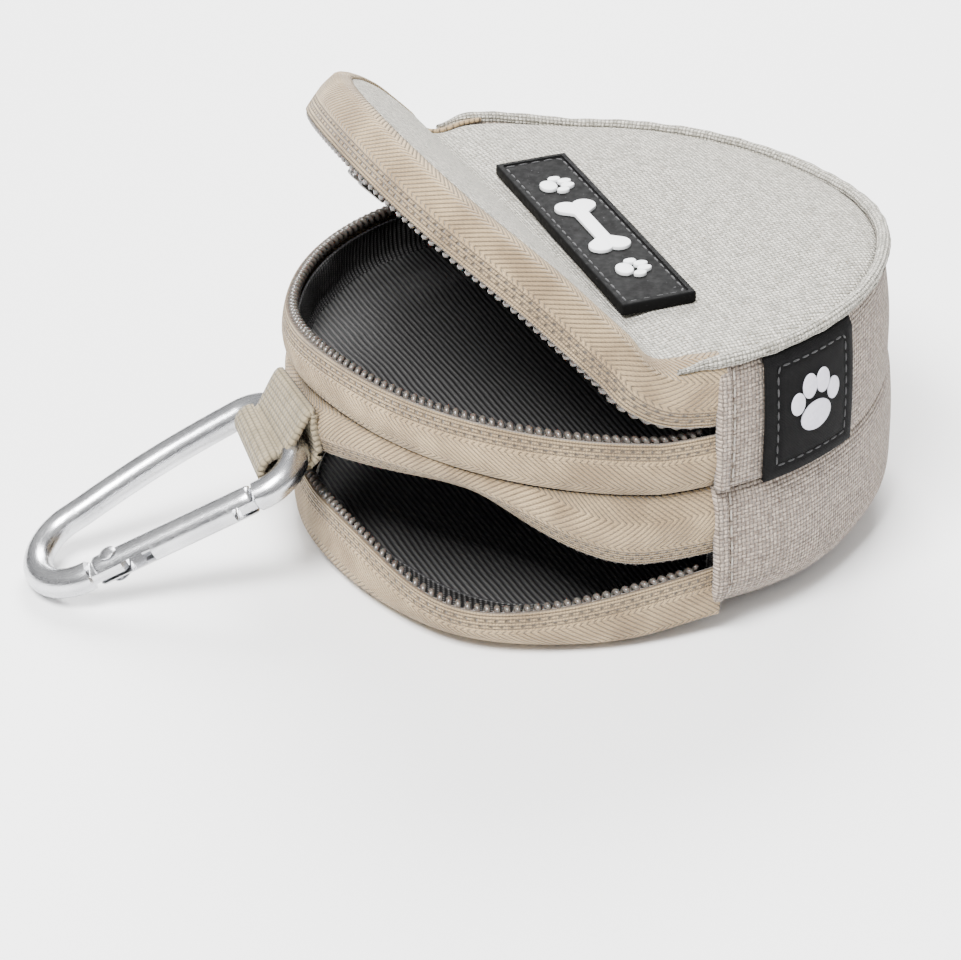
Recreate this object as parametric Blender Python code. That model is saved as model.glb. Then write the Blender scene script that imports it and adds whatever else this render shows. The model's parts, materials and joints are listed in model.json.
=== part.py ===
"""Round two-compartment treat pouch with zipped front openings and a carabiner on a webbing loop.

The pouch stands on its base at z = 0 with the centre of the base at the origin. The back half of the
drum (+X) is a plain canvas gusset. The front half (-X) carries two zips, one per compartment. The lid
is folded open and the base flap lies flat. Everything is in metres.
"""
import math

import bmesh
import bpy
from mathutils import Matrix, Vector

MM = 0.001

# Pouch drum
RADIUS = 50 * MM
TOP_Z = 49.8 * MM
SEAM_Z = 27.2 * MM
WALL = 1.0 * MM
PANEL = 1.2 * MM
LINING = 0.5 * MM
GAP = 0.3 * MM
ARC_STEP = 6.0
SEAM_CLEAR = 0.7 * MM
DIVIDER_HALF = 0.4 * MM
DIVIDER_INSET = 0.6 * MM
FOOT = 0.2 * MM
HEM_FOOT = 0.6 * MM
BACK_ARC = 90.0
BACK_TRIM_ARC = 88.0
WELT_PROUD = 0.8 * MM
WELT_THICKNESS = 1.6 * MM
WELT_LIFT = 0.1 * MM
WELT_HIGH = 1.4 * MM

# Fold line of the lid and of the base flap, parallel to Y
FOLD_X = -8.4 * MM
FOLD_HALF_GAP = 1.0 * MM
LID_OPEN = 48.0

# The front of the drum springs up a little when the zips are open
FRONT_SLOPE = 0.12
FAR_SHARE = 0.2
ROOF_SLOPE = 0.189
TUCK = 6.0 * MM

# Zips: two toothed rows per compartment
UPPER_ROW_Z = 37.9 * MM
LID_ROW_Z = 39.3 * MM
ROOF_ROW_Z = 15.2 * MM
FLAP_ROW_Z = 13.4 * MM
ROW_HEIGHT = 1.5 * MM
ROW_DEPTH = 1.8 * MM
ZIP_START = 102.0
ZIP_ARC = (91.0, 269.0)
TAPE_ENDS = (("far", 91.0, 99.0), ("near", 261.0, 269.0))
ROOF_LINING_TRIM = 1.4 * MM
SLIDER_ANGLE = 101.5
SLIDER_LENGTH = 7.0 * MM
SLIDER_POST = 2.0 * MM
SLIDER_LIP = 3.2 * MM
SLIDER_SHORT_LIP = 1.0 * MM
SLIDER_PLATE = 1.0 * MM
SLIDER_OUTER = RADIUS + 1.0 * MM
SLIDER_INNER = RADIUS - 2.7 * MM
SLIDER_WEB = 1.0 * MM
PULL_REACH = 2.3 * MM
PULL_THICKNESS = 0.9 * MM
PULL_HALF = 2.4 * MM
PULL_LENGTH = 10.0 * MM

# Trim
PATCH_SIZE = Vector((12.8, 56.0, 2.0)) * MM
PATCH_CENTRE = Vector((0.2, -3.5, 0.0)) * MM
PATCH_TURN = -2.0
LABEL_ARC = (-80.4, -58.0)
LABEL_Z = (28.2 * MM, 48.4 * MM)
LABEL_THICKNESS = 0.7 * MM
HEM_ARC = 5.0

# Webbing loop
LOOP_WIDTH = 16 * MM
WEBBING = 1.1 * MM
LOOP_SLACK = 1.2 * MM
LOOP_OFFSET_Y = 1.5 * MM

# Carabiner, drawn flat in its own plane and then tipped down towards the table
ROD = 2.5 * MM
ROD_SIDES = 10
HOOK_LENGTH = 47.5 * MM
NARROW_RADIUS = 8.6 * MM
WIDE_HALF = 11.8 * MM
CORNER_RADIUS = 7.0 * MM
SPINE_BOW = 1.0 * MM
HOOK_DROOP = 26.0
HOOK_YAW = 10.0
HOOK_FAR = Vector((-94.9, 9.2, 2.9)) * MM
RIVET_AT = 13.0 * MM
GATE_END = 38.5 * MM
GATE_CHEEK = 3.2 * MM
SHOULDER = 4.5 * MM
TONGUE = 3.0 * MM
TONGUE_HALF = 0.9 * MM
SLOT_HALF = 1.25 * MM
RIVET_RADIUS = 1.0 * MM


# ---------------------------------------------------------------- helpers

def clear_scene():
    for thing in list(bpy.data.objects):
        bpy.data.objects.remove(thing, do_unlink=True)


def make_material(name, colour, roughness, metallic=0.0):
    material = bpy.data.materials.new(name)
    material.use_nodes = True
    shader = material.node_tree.nodes["Principled BSDF"]
    shader.inputs["Base Color"].default_value = (*colour, 1.0)
    shader.inputs["Roughness"].default_value = roughness
    shader.inputs["Metallic"].default_value = metallic
    return material


def link_mesh(name, work, material, smooth=True):
    bmesh.ops.recalc_face_normals(work, faces=work.faces)
    mesh = bpy.data.meshes.new(name)
    work.to_mesh(mesh)
    work.free()
    mesh.materials.append(material)
    if smooth:
        mesh.shade_smooth()
        mesh.set_sharp_from_angle(angle=math.radians(35))
    piece = bpy.data.objects.new(name, mesh)
    bpy.context.collection.objects.link(piece)
    return piece


def loft(name, sections, material, ring=False):
    """Join equal closed sections into one solid, capped at both ends unless it runs round."""
    work = bmesh.new()
    rows = [[work.verts.new(corner) for corner in section] for section in sections]
    count = len(rows[0])
    pairs = list(zip(rows, rows[1:]))
    if ring:
        pairs.append((rows[-1], rows[0]))
    for low, high in pairs:
        for i in range(count):
            j = (i + 1) % count
            work.faces.new((low[i], low[j], high[j], high[i]))
    if not ring:
        work.faces.new(rows[0])
        work.faces.new(rows[-1])
    return link_mesh(name, work, material)


def polar(radius, angle, z):
    turn = math.radians(angle)
    return Vector((radius * math.cos(turn), radius * math.sin(turn), z))


def angles(start, end, step=ARC_STEP):
    count = max(1, round(abs(end - start) / step))
    return [start + (end - start) * i / count for i in range(count + 1)]


def smooth_step(t):
    t = min(1.0, max(0.0, t))
    return t * t * (3.0 - 2.0 * t)


def reach(x):
    """Distance in front of the fold line."""
    return max(0.0, FOLD_X - x)


def front_rise(x, y):
    """Height by which the sprung-up front stands above its closed place, most on the near side."""
    near = smooth_step((30 * MM - y) / (45 * MM))
    return FRONT_SLOPE * reach(x) * (FAR_SHARE + (1.0 - FAR_SHARE) * near)


def roof_tuck(x):
    """Inward tuck of the lower opening's upper edge."""
    return TUCK * smooth_step((reach(x) - 15 * MM) / (18 * MM))


def turned_about_fold(piece, angle, height):
    """Turn a piece about the fold line at the given height; positive lifts the front."""
    pivot = Vector((FOLD_X, 0.0, height))
    turn = Matrix.Translation(pivot) @ Matrix.Rotation(math.radians(angle), 4, "Y")
    piece.data.transform(turn @ Matrix.Translation(-pivot))
    piece.data.transform(Matrix.Translation(-pivot))
    piece.location = pivot
    return piece


# ---------------------------------------------------------------- shaped pieces

def wall(name, start, end, corners, material):
    """A wall that runs round the drum; corners(x, y) gives (radius, z) pairs of its section."""
    sections = []
    for angle in angles(start, end):
        spot = polar(RADIUS, angle, 0.0)
        sections.append([polar(r, angle, z) for r, z in corners(spot.x, spot.y)])
    return loft(name, sections, material)


def plain_wall(name, start, end, outer, thickness, low, high, material):
    def corners(_x, _y):
        return [(outer, low), (outer, high), (outer - thickness, high), (outer - thickness, low)]
    return wall(name, start, end, corners, material)


def zip_row(name, start, end, radius, bottom, material):
    """A toothed row as a plain rail; bottom(x, y) gives its lower edge and its inward tuck."""
    def corners(x, y):
        low, tuck = bottom(x, y)
        outer = radius + ROW_DEPTH / 2 - tuck
        inner = outer - ROW_DEPTH
        return [(outer, low), (outer, low + ROW_HEIGHT), (inner, low + ROW_HEIGHT), (inner, low)]
    return wall(name, start, end, corners, material)


def half_disc(name, radius, edge_x, front, low, high, material):
    """A flat plate: the part of a disc in front of, or behind, a line parallel to Y."""
    corner = math.degrees(math.acos(edge_x / radius))
    arc = angles(corner, 360.0 - corner) if front else angles(-corner, corner)
    sections = [[polar(radius, angle, z) for angle in arc] for z in (low, high)]
    return loft(name, sections, material)


def raised_disc(name, radius, low, high, material):
    """A whole disc whose front half follows the sprung-up front."""
    rows = 14
    across = 4
    sections = []
    for i in range(rows + 1):
        turn = math.pi * (0.02 + 0.96 * i / rows)
        x = -radius * math.cos(turn)
        half = radius * math.sin(turn)
        line = [Vector((x, half * (2.0 * j / across - 1.0), 0.0)) for j in range(across + 1)]
        bottom = [Vector((p.x, p.y, low + front_rise(p.x, p.y))) for p in line]
        top = [Vector((p.x, p.y, high + front_rise(p.x, p.y))) for p in reversed(line)]
        sections.append(bottom + top)
    return loft(name, sections, material)


def box(name, size, material):
    work = bmesh.new()
    bmesh.ops.create_cube(work, size=1.0)
    bmesh.ops.scale(work, vec=size, verts=work.verts)
    return link_mesh(name, work, material, smooth=False)


def cylinder(name, radius, length, material, sides=12):
    work = bmesh.new()
    bmesh.ops.create_cone(work, cap_ends=True, segments=sides, radius1=radius, radius2=radius, depth=length)
    return link_mesh(name, work, material)


def as_cutter(piece):
    piece.hide_render = True
    piece.display_type = "WIRE"
    return piece


def cut(piece, cutter):
    modifier = piece.modifiers.new("cut", "BOOLEAN")
    modifier.operation = "DIFFERENCE"
    modifier.solver = "EXACT"
    modifier.object = as_cutter(cutter)


# ---------------------------------------------------------------- the pouch

def build_upper_compartment(mat):
    edge = RADIUS - WALL - GAP
    top_low = TOP_Z - PANEL / 2
    gusset_top = top_low - GAP
    floor = SEAM_Z + SEAM_CLEAR
    half_disc("top_back_panel", RADIUS - 1.2 * MM, FOLD_X + FOLD_HALF_GAP, False,
              top_low, TOP_Z + PANEL / 2, mat["canvas"])
    half_disc("top_back_lining", edge - LINING - GAP, FOLD_X + 2 * FOLD_HALF_GAP, False,
              top_low - GAP - LINING, top_low - GAP, mat["lining"])
    plain_wall("top_welt", -BACK_TRIM_ARC, BACK_TRIM_ARC, RADIUS + WELT_PROUD, WELT_THICKNESS,
               top_low + WELT_LIFT, TOP_Z + WELT_HIGH, mat["canvas"])
    plain_wall("upper_gusset", -BACK_ARC, BACK_ARC, RADIUS, WALL, floor, gusset_top, mat["canvas"])
    plain_wall("upper_gusset_lining", -BACK_TRIM_ARC, BACK_TRIM_ARC, edge, LINING, floor + GAP,
               gusset_top - GAP - LINING, mat["lining"])
    for side, start in (("near", -BACK_ARC), ("far", BACK_ARC - HEM_ARC)):
        plain_wall(f"upper_{side}_hem", start, start + HEM_ARC, RADIUS + GAP + WALL, WALL,
                   floor, gusset_top, mat["canvas"])
    plain_wall("woven_label", *LABEL_ARC, RADIUS + GAP + LABEL_THICKNESS, LABEL_THICKNESS, *LABEL_Z,
               mat["label"])

    def tape_section(outer, thickness):
        def corners(x, y):
            lift = front_rise(x, y)
            low = floor + lift
            high = UPPER_ROW_Z - ROW_HEIGHT - GAP + lift
            return [(outer, low), (outer, high), (outer - thickness, high), (outer - thickness, low)]
        return corners

    wall("upper_wall_tape", *ZIP_ARC, tape_section(RADIUS, WALL), mat["tape"])
    wall("upper_wall_lining", *ZIP_ARC, tape_section(edge, LINING), mat["lining"])
    zip_row("upper_wall_teeth", *ZIP_ARC, RADIUS - WALL / 2,
            lambda x, y: (UPPER_ROW_Z - ROW_HEIGHT + front_rise(x, y), 0.0), mat["teeth"])
    for side, start, end in TAPE_ENDS:
        plain_wall(f"upper_tape_end_{side}", start, end, RADIUS, WALL, LID_ROW_Z, gusset_top, mat["tape"])


def build_divider(mat):
    raised_disc("divider_panel", RADIUS - DIVIDER_INSET, SEAM_Z - DIVIDER_HALF, SEAM_Z + DIVIDER_HALF,
                mat["canvas"])
    inner = RADIUS - WALL - 3 * GAP - 2 * LINING
    raised_disc("divider_floor_lining", inner, SEAM_Z + SEAM_CLEAR, SEAM_Z + SEAM_CLEAR + DIVIDER_HALF,
                mat["lining"])
    raised_disc("divider_ceiling_lining", inner, SEAM_Z - SEAM_CLEAR - DIVIDER_HALF, SEAM_Z - SEAM_CLEAR,
                mat["lining"])


def build_lower_compartment(mat):
    edge = RADIUS - WALL - GAP
    ceiling = SEAM_Z - SEAM_CLEAR
    half_disc("base_back_panel", RADIUS - WALL - GAP, FOLD_X + FOLD_HALF_GAP, False, 0.0, PANEL,
              mat["canvas"])
    half_disc("base_back_lining", edge - LINING - GAP, FOLD_X + 2 * FOLD_HALF_GAP, False,
              PANEL + GAP, PANEL + GAP + LINING, mat["lining"])
    plain_wall("lower_gusset", -BACK_ARC, BACK_ARC, RADIUS, WALL, FOOT, ceiling, mat["canvas"])
    plain_wall("lower_gusset_lining", -BACK_TRIM_ARC, BACK_TRIM_ARC, edge, LINING,
               PANEL + 2 * GAP + LINING, ceiling - GAP, mat["lining"])
    for side, start in (("near", -BACK_ARC), ("far", BACK_ARC - HEM_ARC)):
        plain_wall(f"lower_{side}_hem", start, start + HEM_ARC, RADIUS + GAP + WALL, WALL,
                   HEM_FOOT, ceiling, mat["canvas"])

    def tape_section(outer, thickness, trim=0.0):
        """A slanted strip from the seam down to the toothed row, cut back by trim at both edges."""
        def corners(x, y):
            seam = ceiling + front_rise(x, y)
            row = ROOF_ROW_Z + ROW_HEIGHT + GAP + ROOF_SLOPE * reach(x)
            section = [(outer - roof_tuck(x) * (seam - z) / (seam - row), z)
                       for z in (row + trim, seam - trim)]
            return section + [(r - thickness, z) for r, z in reversed(section)]
        return corners

    wall("lower_roof_tape", *ZIP_ARC, tape_section(RADIUS, WALL), mat["tape"])
    wall("lower_roof_lining", *ZIP_ARC, tape_section(edge - 3 * GAP, LINING, ROOF_LINING_TRIM),
         mat["lining"])
    zip_row("lower_roof_teeth", *ZIP_ARC, RADIUS - WALL / 2,
            lambda x, y: (ROOF_ROW_Z + ROOF_SLOPE * reach(x), roof_tuck(x)), mat["teeth"])
    for side, start, end in TAPE_ENDS:
        plain_wall(f"lower_tape_end_{side}", start, end, RADIUS, WALL, HEM_FOOT, FLAP_ROW_Z, mat["tape"])


def build_patch(mat):
    """Rubber badge sewn on the top panel beside the fold."""
    patch = box("rubber_patch", PATCH_SIZE, mat["rubber"])
    bevel = patch.modifiers.new("edge", "BEVEL")
    bevel.width = 0.4 * MM
    bevel.segments = 2
    patch.location = PATCH_CENTRE + Vector((0, 0, TOP_Z + PANEL / 2 + GAP + PATCH_SIZE.z / 2))
    patch.rotation_euler.z = math.radians(PATCH_TURN)


def build_lid(mat):
    edge = RADIUS - WALL - GAP
    top_low = TOP_Z - PANEL / 2
    last = 360.0 - ZIP_START
    pieces = [
        half_disc("lid_panel", RADIUS - 0.2 * MM, FOLD_X - FOLD_HALF_GAP, True, top_low,
                  TOP_Z + PANEL / 2, mat["canvas"]),
        half_disc("lid_lining", edge - LINING - GAP, FOLD_X - 2 * FOLD_HALF_GAP, True,
                  top_low - GAP - LINING, top_low - GAP, mat["lining"]),
        plain_wall("lid_tape", ZIP_START, last, RADIUS, WALL, LID_ROW_Z + ROW_HEIGHT + GAP,
                   top_low - GAP, mat["tape"]),
        zip_row("lid_teeth", ZIP_START, last, RADIUS - WALL / 2, lambda x, y: (LID_ROW_Z, 0.0),
                mat["teeth"]),
    ]
    for piece in pieces:
        turned_about_fold(piece, LID_OPEN, TOP_Z)


def build_base_flap(mat):
    edge = RADIUS - WALL - GAP
    last = 360.0 - ZIP_START
    high = FLAP_ROW_Z - ROW_HEIGHT - GAP
    pieces = [
        half_disc("base_flap_panel", edge, FOLD_X - FOLD_HALF_GAP, True, 0.0, PANEL, mat["canvas"]),
        half_disc("base_flap_lining", edge - LINING - GAP, FOLD_X - 2 * FOLD_HALF_GAP, True,
                  PANEL + GAP, PANEL + GAP + LINING, mat["lining"]),
        plain_wall("base_flap_tape", ZIP_START, last, RADIUS, WALL, FOOT, high, mat["tape"]),
        zip_row("base_flap_teeth", ZIP_START, last, RADIUS - WALL / 2,
                lambda x, y: (FLAP_ROW_Z - ROW_HEIGHT, 0.0), mat["teeth"]),
    ]
    for piece in pieces:
        turned_about_fold(piece, 0.0, PANEL / 2)


# ---------------------------------------------------------------- zip sliders

def slider_body(name, web_low, web_high, lip_low, lip_high, mat):
    """Two face plates joined by a short post that runs in the gap between the two toothed rows.

    The lips reach over the row the slider stays on; they are short on the side of the parted row.
    """
    half = math.degrees(SLIDER_LENGTH / 2 / RADIUS)
    post = math.degrees(SLIDER_POST / 2 / RADIUS)
    radii = (SLIDER_INNER - SLIDER_PLATE, SLIDER_INNER, SLIDER_OUTER, SLIDER_OUTER + SLIDER_PLATE)
    turns = [SLIDER_ANGLE + offset for offset in (-half, -post, post, half)]
    levels = (web_low - lip_low, web_low, web_high, web_high + lip_high)
    work = bmesh.new()
    grid = [[[work.verts.new(polar(r, turn, z)) for z in levels] for turn in turns] for r in radii]
    for r in range(4):
        for i in range(3):
            for k in range(3):
                if r in (1, 2) and i == 1 and k == 1:
                    continue
                layer = grid[r]
                work.faces.new((layer[i][k], layer[i + 1][k], layer[i + 1][k + 1], layer[i][k + 1]))
    plate_rim = [(0, i) for i in range(4)] + [(i, 3) for i in range(1, 4)]
    plate_rim += [(3, i) for i in (2, 1, 0)] + [(i, 0) for i in (2, 1)]
    post_rim = [(1, 1), (1, 2), (2, 2), (2, 1)]
    for lower, rim in ((0, plate_rim), (2, plate_rim), (1, post_rim)):
        for (i, k), (m, n) in zip(rim, rim[1:] + rim[:1]):
            work.faces.new((grid[lower][i][k], grid[lower][m][n],
                            grid[lower + 1][m][n], grid[lower + 1][i][k]))
    return link_mesh(name, work, mat["slider"])


def pull_tab(name, height, mat):
    """A flat puller that lies back along the zip from a cross pin on the outer face plate."""
    radius = RADIUS + PULL_REACH
    half = PULL_HALF
    length = PULL_LENGTH
    outline = [(-0.6 * half, 0.0), (-half, 0.35 * length), (-half, 0.85 * length), (-0.5 * half, length),
               (0.5 * half, length), (half, 0.85 * length), (half, 0.35 * length), (0.6 * half, 0.0)]
    turn = math.radians(SLIDER_ANGLE)
    out = Vector((math.cos(turn), math.sin(turn), 0.0))
    back = Vector((math.sin(turn), -math.cos(turn), 0.0))
    sections = [[out * r + back * far + Vector((0, 0, height + side)) for side, far in outline]
                for r in (radius, radius + PULL_THICKNESS)]
    return loft(name, sections, mat["slider"])


def build_sliders(mat):
    lid_web = (LID_ROW_Z - GAP - SLIDER_WEB, LID_ROW_Z - GAP)
    upper = slider_body("upper_slider", *lid_web, SLIDER_SHORT_LIP, SLIDER_LIP, mat)
    turned_about_fold(upper, LID_OPEN, TOP_Z)
    turned_about_fold(pull_tab("upper_pull_tab", lid_web[0] + SLIDER_WEB / 2, mat), LID_OPEN, TOP_Z)
    flap_web = (FLAP_ROW_Z + GAP, FLAP_ROW_Z + GAP + SLIDER_WEB)
    slider_body("lower_slider", *flap_web, SLIDER_LIP, SLIDER_SHORT_LIP, mat)
    pull_tab("lower_pull_tab", flap_web[0] + SLIDER_WEB / 2, mat)


# ---------------------------------------------------------------- loop and carabiner

def hook_frame():
    """Matrix from the carabiner's own plane (u along, v across, w out of plane) to the pouch."""
    droop = math.radians(HOOK_DROOP)
    yaw = math.radians(HOOK_YAW)
    uphill = Vector((math.cos(droop), 0.0, math.sin(droop)))
    across = Vector((0.0, 1.0, 0.0))
    along = uphill * math.cos(yaw) - across * math.sin(yaw)
    side = uphill * math.sin(yaw) + across * math.cos(yaw)
    normal = along.cross(side)
    frame = Matrix((along, side, normal)).transposed().to_4x4()
    frame.translation = HOOK_FAR
    return frame


def gate_line(u):
    """Centre line of the gate side: the distance across at a distance along."""
    share = (u - NARROW_RADIUS) / (HOOK_LENGTH - CORNER_RADIUS - NARROW_RADIUS)
    return -(NARROW_RADIUS + (WIDE_HALF - NARROW_RADIUS) * share)


def arc_points(centre, radius, start, end, count):
    points = []
    for i in range(count + 1):
        turn = math.radians(start + (end - start) * i / count)
        points.append(Vector((centre[0] + radius * math.cos(turn), centre[1] + radius * math.sin(turn), 0)))
    return points


def hook_path():
    """Centre line of the bent rod from the nose round the wide end and spine to the hinge tongue."""
    corner_u = HOOK_LENGTH - CORNER_RADIUS
    corner_v = WIDE_HALF - CORNER_RADIUS
    nose = GATE_END + 0.6 * MM
    path = [Vector((nose - TONGUE, gate_line(nose - TONGUE), 0)), Vector((nose, gate_line(nose), 0)),
            Vector((nose + 1.0 * MM, gate_line(nose + 1.0 * MM), 0))]
    path += arc_points((corner_u, -corner_v), CORNER_RADIUS, -84, 0, 6)
    path += arc_points((corner_u, corner_v), CORNER_RADIUS, 0, 84, 6)
    spine_steps = 8
    for i in range(1, spine_steps):
        share = i / spine_steps
        u = corner_u + (NARROW_RADIUS - corner_u) * share
        v = WIDE_HALF + (NARROW_RADIUS - WIDE_HALF) * share + SPINE_BOW * math.sin(math.pi * share)
        path.append(Vector((u, v, 0)))
    path += arc_points((NARROW_RADIUS, 0), NARROW_RADIUS, 92, 262, 12)
    root = RIVET_AT - SHOULDER
    path += [Vector((root, gate_line(root), 0)), Vector((root + 0.8 * MM, gate_line(root + 0.8 * MM), 0)),
             Vector((RIVET_AT + 2.2 * MM, gate_line(RIVET_AT + 2.2 * MM), 0))]
    return path


def rod_section(centre, tangent, thickness):
    """One cross-section of the rod; thickness is its half height out of the carabiner's plane."""
    side = Vector((-tangent.y, tangent.x, 0.0)).normalized()
    width = ROD if thickness == ROD else 0.82 * ROD
    ring = []
    for i in range(ROD_SIDES):
        turn = 2 * math.pi * (i + 0.5) / ROD_SIDES
        lift = max(-thickness, min(thickness, ROD * math.sin(turn)))
        ring.append(centre + side * width * math.cos(turn) + Vector((0, 0, lift)))
    return ring


def build_hook(mat, frame):
    path = hook_path()
    sections = []
    last = len(path) - 1
    for i, point in enumerate(path):
        tangent = (path[min(i + 1, last)] - path[max(i - 1, 0)]).normalized()
        flat = i < 2 or i > last - 2
        sections.append(rod_section(point, tangent, TONGUE_HALF if flat else ROD))
    hook = loft("carabiner_body", sections, mat["aluminium"])
    hook.matrix_world = frame
    hole = cylinder("rivet_hole_cutter", RIVET_RADIUS + GAP, 3 * ROD, mat["aluminium"])
    hole.matrix_world = frame @ Matrix.Translation((RIVET_AT, gate_line(RIVET_AT), 0))
    cut(hook, hole)
    return hole


def build_gate(mat, frame, hole):
    direction = Vector((GATE_END - RIVET_AT, gate_line(GATE_END) - gate_line(RIVET_AT), 0))
    length = direction.length
    lean = math.atan2(direction.y, direction.x)
    hinge = frame @ Matrix.Translation((RIVET_AT, gate_line(RIVET_AT), 0)) @ Matrix.Rotation(lean, 4, "Z")

    def placed(piece, along, lay=False):
        turn = Matrix.Rotation(math.pi / 2, 4, "Y") if lay else Matrix.Identity(4)
        piece.data.transform(Matrix.Translation((along, 0, 0)) @ turn)
        piece.matrix_world = hinge
        return piece

    gate = placed(cylinder("gate_tube", ROD, length + GATE_CHEEK, mat["aluminium"]),
                  (length - GATE_CHEEK) / 2, lay=True)
    slot_depth = 4.2 * MM
    slot_size = Vector((2 * slot_depth + 2 * GATE_CHEEK, 4 * ROD, 2 * SLOT_HALF))
    cut(gate, placed(box("hinge_slot_cutter", slot_size, mat["aluminium"]), -0.4 * MM))
    latch_size = Vector((2 * (TONGUE + 0.6 * MM), 4 * ROD, 2 * SLOT_HALF))
    cut(gate, placed(box("latch_slot_cutter", latch_size, mat["aluminium"]), length))
    cut(gate, hole)
    bore_length = 12 * MM
    cut(gate, placed(cylinder("spring_bore_cutter", 1.5 * MM, bore_length, mat["aluminium"]),
                     slot_depth + bore_length / 2, lay=True))

    rivet = cylinder("gate_rivet", RIVET_RADIUS, 2 * ROD + 1.0 * MM, mat["steel"])
    rivet.matrix_world = hinge
    spring_start = slot_depth + 4.2 * MM
    placed(cylinder("gate_plunger", 1.0 * MM, 3.0 * MM, mat["steel"], 8), spring_start - 1.9 * MM, lay=True)
    build_gate_spring(mat, hinge, spring_start)


def build_gate_spring(mat, hinge, start):
    """Coil spring that sits in the gate's bore and pushes the plunger on to the hinge tongue."""
    turns = 5
    steps = 8 * turns
    coil = 0.95 * MM
    wire = 0.18 * MM
    length = 6.0 * MM
    sections = []
    for i in range(steps + 1):
        turn = 2 * math.pi * turns * i / steps
        out = Vector((0, math.cos(turn), math.sin(turn)))
        centre = out * coil + Vector((start + length * i / steps, 0, 0))
        sections.append([centre + Vector((wire, 0, 0)), centre + out * wire,
                         centre - Vector((wire, 0, 0)), centre - out * wire])
    spring = loft("gate_spring", sections, mat["steel"])
    spring.matrix_world = hinge


def loop_outline(inset):
    """The loop seen from its side: from the seam out over the rod, round the fold and back under."""
    wide_end = hook_frame() @ Vector((HOOK_LENGTH, 0, 0))
    room = ROD + LOOP_SLACK + WEBBING - inset
    fold = wide_end + Vector((-3.0, 0, -1.3)) * MM
    heel = wide_end + Vector((0.8, 0, 0.2)) * MM
    points = []
    for centre, start, end in ((fold, 75, 235), (heel, 255, 335)):
        for i in range(9):
            turn = math.radians(start + (end - start) * i / 8)
            points.append((centre.x + room * math.cos(turn), centre.z + room * math.sin(turn)))
    seam = (-RADIUS - 1.0 * MM - inset * 0.4, SEAM_Z + 3.6 * MM - inset * 1.6)
    points.append(seam)
    return points


def build_loop(mat):
    y_low = LOOP_OFFSET_Y - LOOP_WIDTH / 2
    y_high = LOOP_OFFSET_Y + LOOP_WIDTH / 2
    sections = []
    for (ox, oz), (ix, iz) in zip(loop_outline(0.0), loop_outline(WEBBING)):
        sections.append([Vector((ox, y_low, oz)), Vector((ox, y_high, oz)),
                         Vector((ix, y_high, iz)), Vector((ix, y_low, iz))])
    loop = loft("webbing_loop", sections, mat["webbing"], ring=True)
    pivot = Vector((-RADIUS - 1.0 * MM, 0, SEAM_Z + 3.6 * MM))
    loop.data.transform(Matrix.Translation(-pivot))
    loop.location = pivot


def main():
    clear_scene()
    mat = {
        "canvas": make_material("canvas", (0.62, 0.60, 0.56), 0.9),
        "tape": make_material("tape", (0.58, 0.51, 0.40), 0.85),
        "teeth": make_material("teeth", (0.26, 0.23, 0.21), 0.4),
        "lining": make_material("lining", (0.025, 0.024, 0.026), 0.75),
        "rubber": make_material("rubber", (0.03, 0.03, 0.032), 0.6),
        "label": make_material("label", (0.02, 0.02, 0.02), 0.85),
        "webbing": make_material("webbing", (0.36, 0.32, 0.24), 0.9),
        "slider": make_material("slider", (0.35, 0.34, 0.33), 0.35, 1.0),
        "aluminium": make_material("aluminium", (0.80, 0.81, 0.83), 0.3, 1.0),
        "steel": make_material("steel", (0.6, 0.6, 0.62), 0.3, 1.0),
    }
    build_upper_compartment(mat)
    build_divider(mat)
    build_lower_compartment(mat)
    build_patch(mat)
    build_lid(mat)
    build_base_flap(mat)
    build_sliders(mat)
    frame = hook_frame()
    hole = build_hook(mat, frame)
    build_gate(mat, frame, hole)
    build_loop(mat)


main()
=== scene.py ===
"""Looks of the round treat pouch: canvas, zips, lining, badge, webbing loop and carabiner."""
import json
import math

import bmesh
import bpy
import numpy as np
from mathutils import Matrix, Vector


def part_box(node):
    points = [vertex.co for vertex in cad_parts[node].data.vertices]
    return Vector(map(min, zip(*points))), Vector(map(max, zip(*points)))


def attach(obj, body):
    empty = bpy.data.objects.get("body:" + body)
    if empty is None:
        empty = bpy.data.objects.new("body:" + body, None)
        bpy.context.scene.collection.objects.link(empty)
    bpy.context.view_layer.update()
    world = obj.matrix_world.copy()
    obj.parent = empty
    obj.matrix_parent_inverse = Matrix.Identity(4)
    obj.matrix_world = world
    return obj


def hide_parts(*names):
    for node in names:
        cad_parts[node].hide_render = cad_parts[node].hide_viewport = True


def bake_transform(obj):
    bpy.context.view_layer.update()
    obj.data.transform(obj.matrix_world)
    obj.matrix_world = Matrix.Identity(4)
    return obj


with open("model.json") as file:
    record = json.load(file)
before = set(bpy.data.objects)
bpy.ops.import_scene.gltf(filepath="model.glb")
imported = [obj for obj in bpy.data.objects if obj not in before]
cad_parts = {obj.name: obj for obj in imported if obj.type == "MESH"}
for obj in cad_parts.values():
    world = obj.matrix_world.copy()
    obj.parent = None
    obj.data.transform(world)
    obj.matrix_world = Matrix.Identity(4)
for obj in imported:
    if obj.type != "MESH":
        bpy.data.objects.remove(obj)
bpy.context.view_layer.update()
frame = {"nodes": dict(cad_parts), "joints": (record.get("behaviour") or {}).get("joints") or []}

MM = 0.001
JOINTS = {joint["name"]: joint for joint in frame["joints"]}


def joint_place(name):
    return Vector(JOINTS[name]["pos_m"])


# Driving sizes, read from the frame
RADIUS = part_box("upper_gusset")[1].x
TOP_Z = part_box("top_back_panel")[1].z
SEAM_Z = (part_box("upper_gusset")[0].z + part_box("lower_gusset")[1].z) / 2
LID_PIVOT = joint_place("lid_fold")
FOLD_X = LID_PIVOT.x
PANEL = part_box("base_back_panel")[1].z

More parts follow.
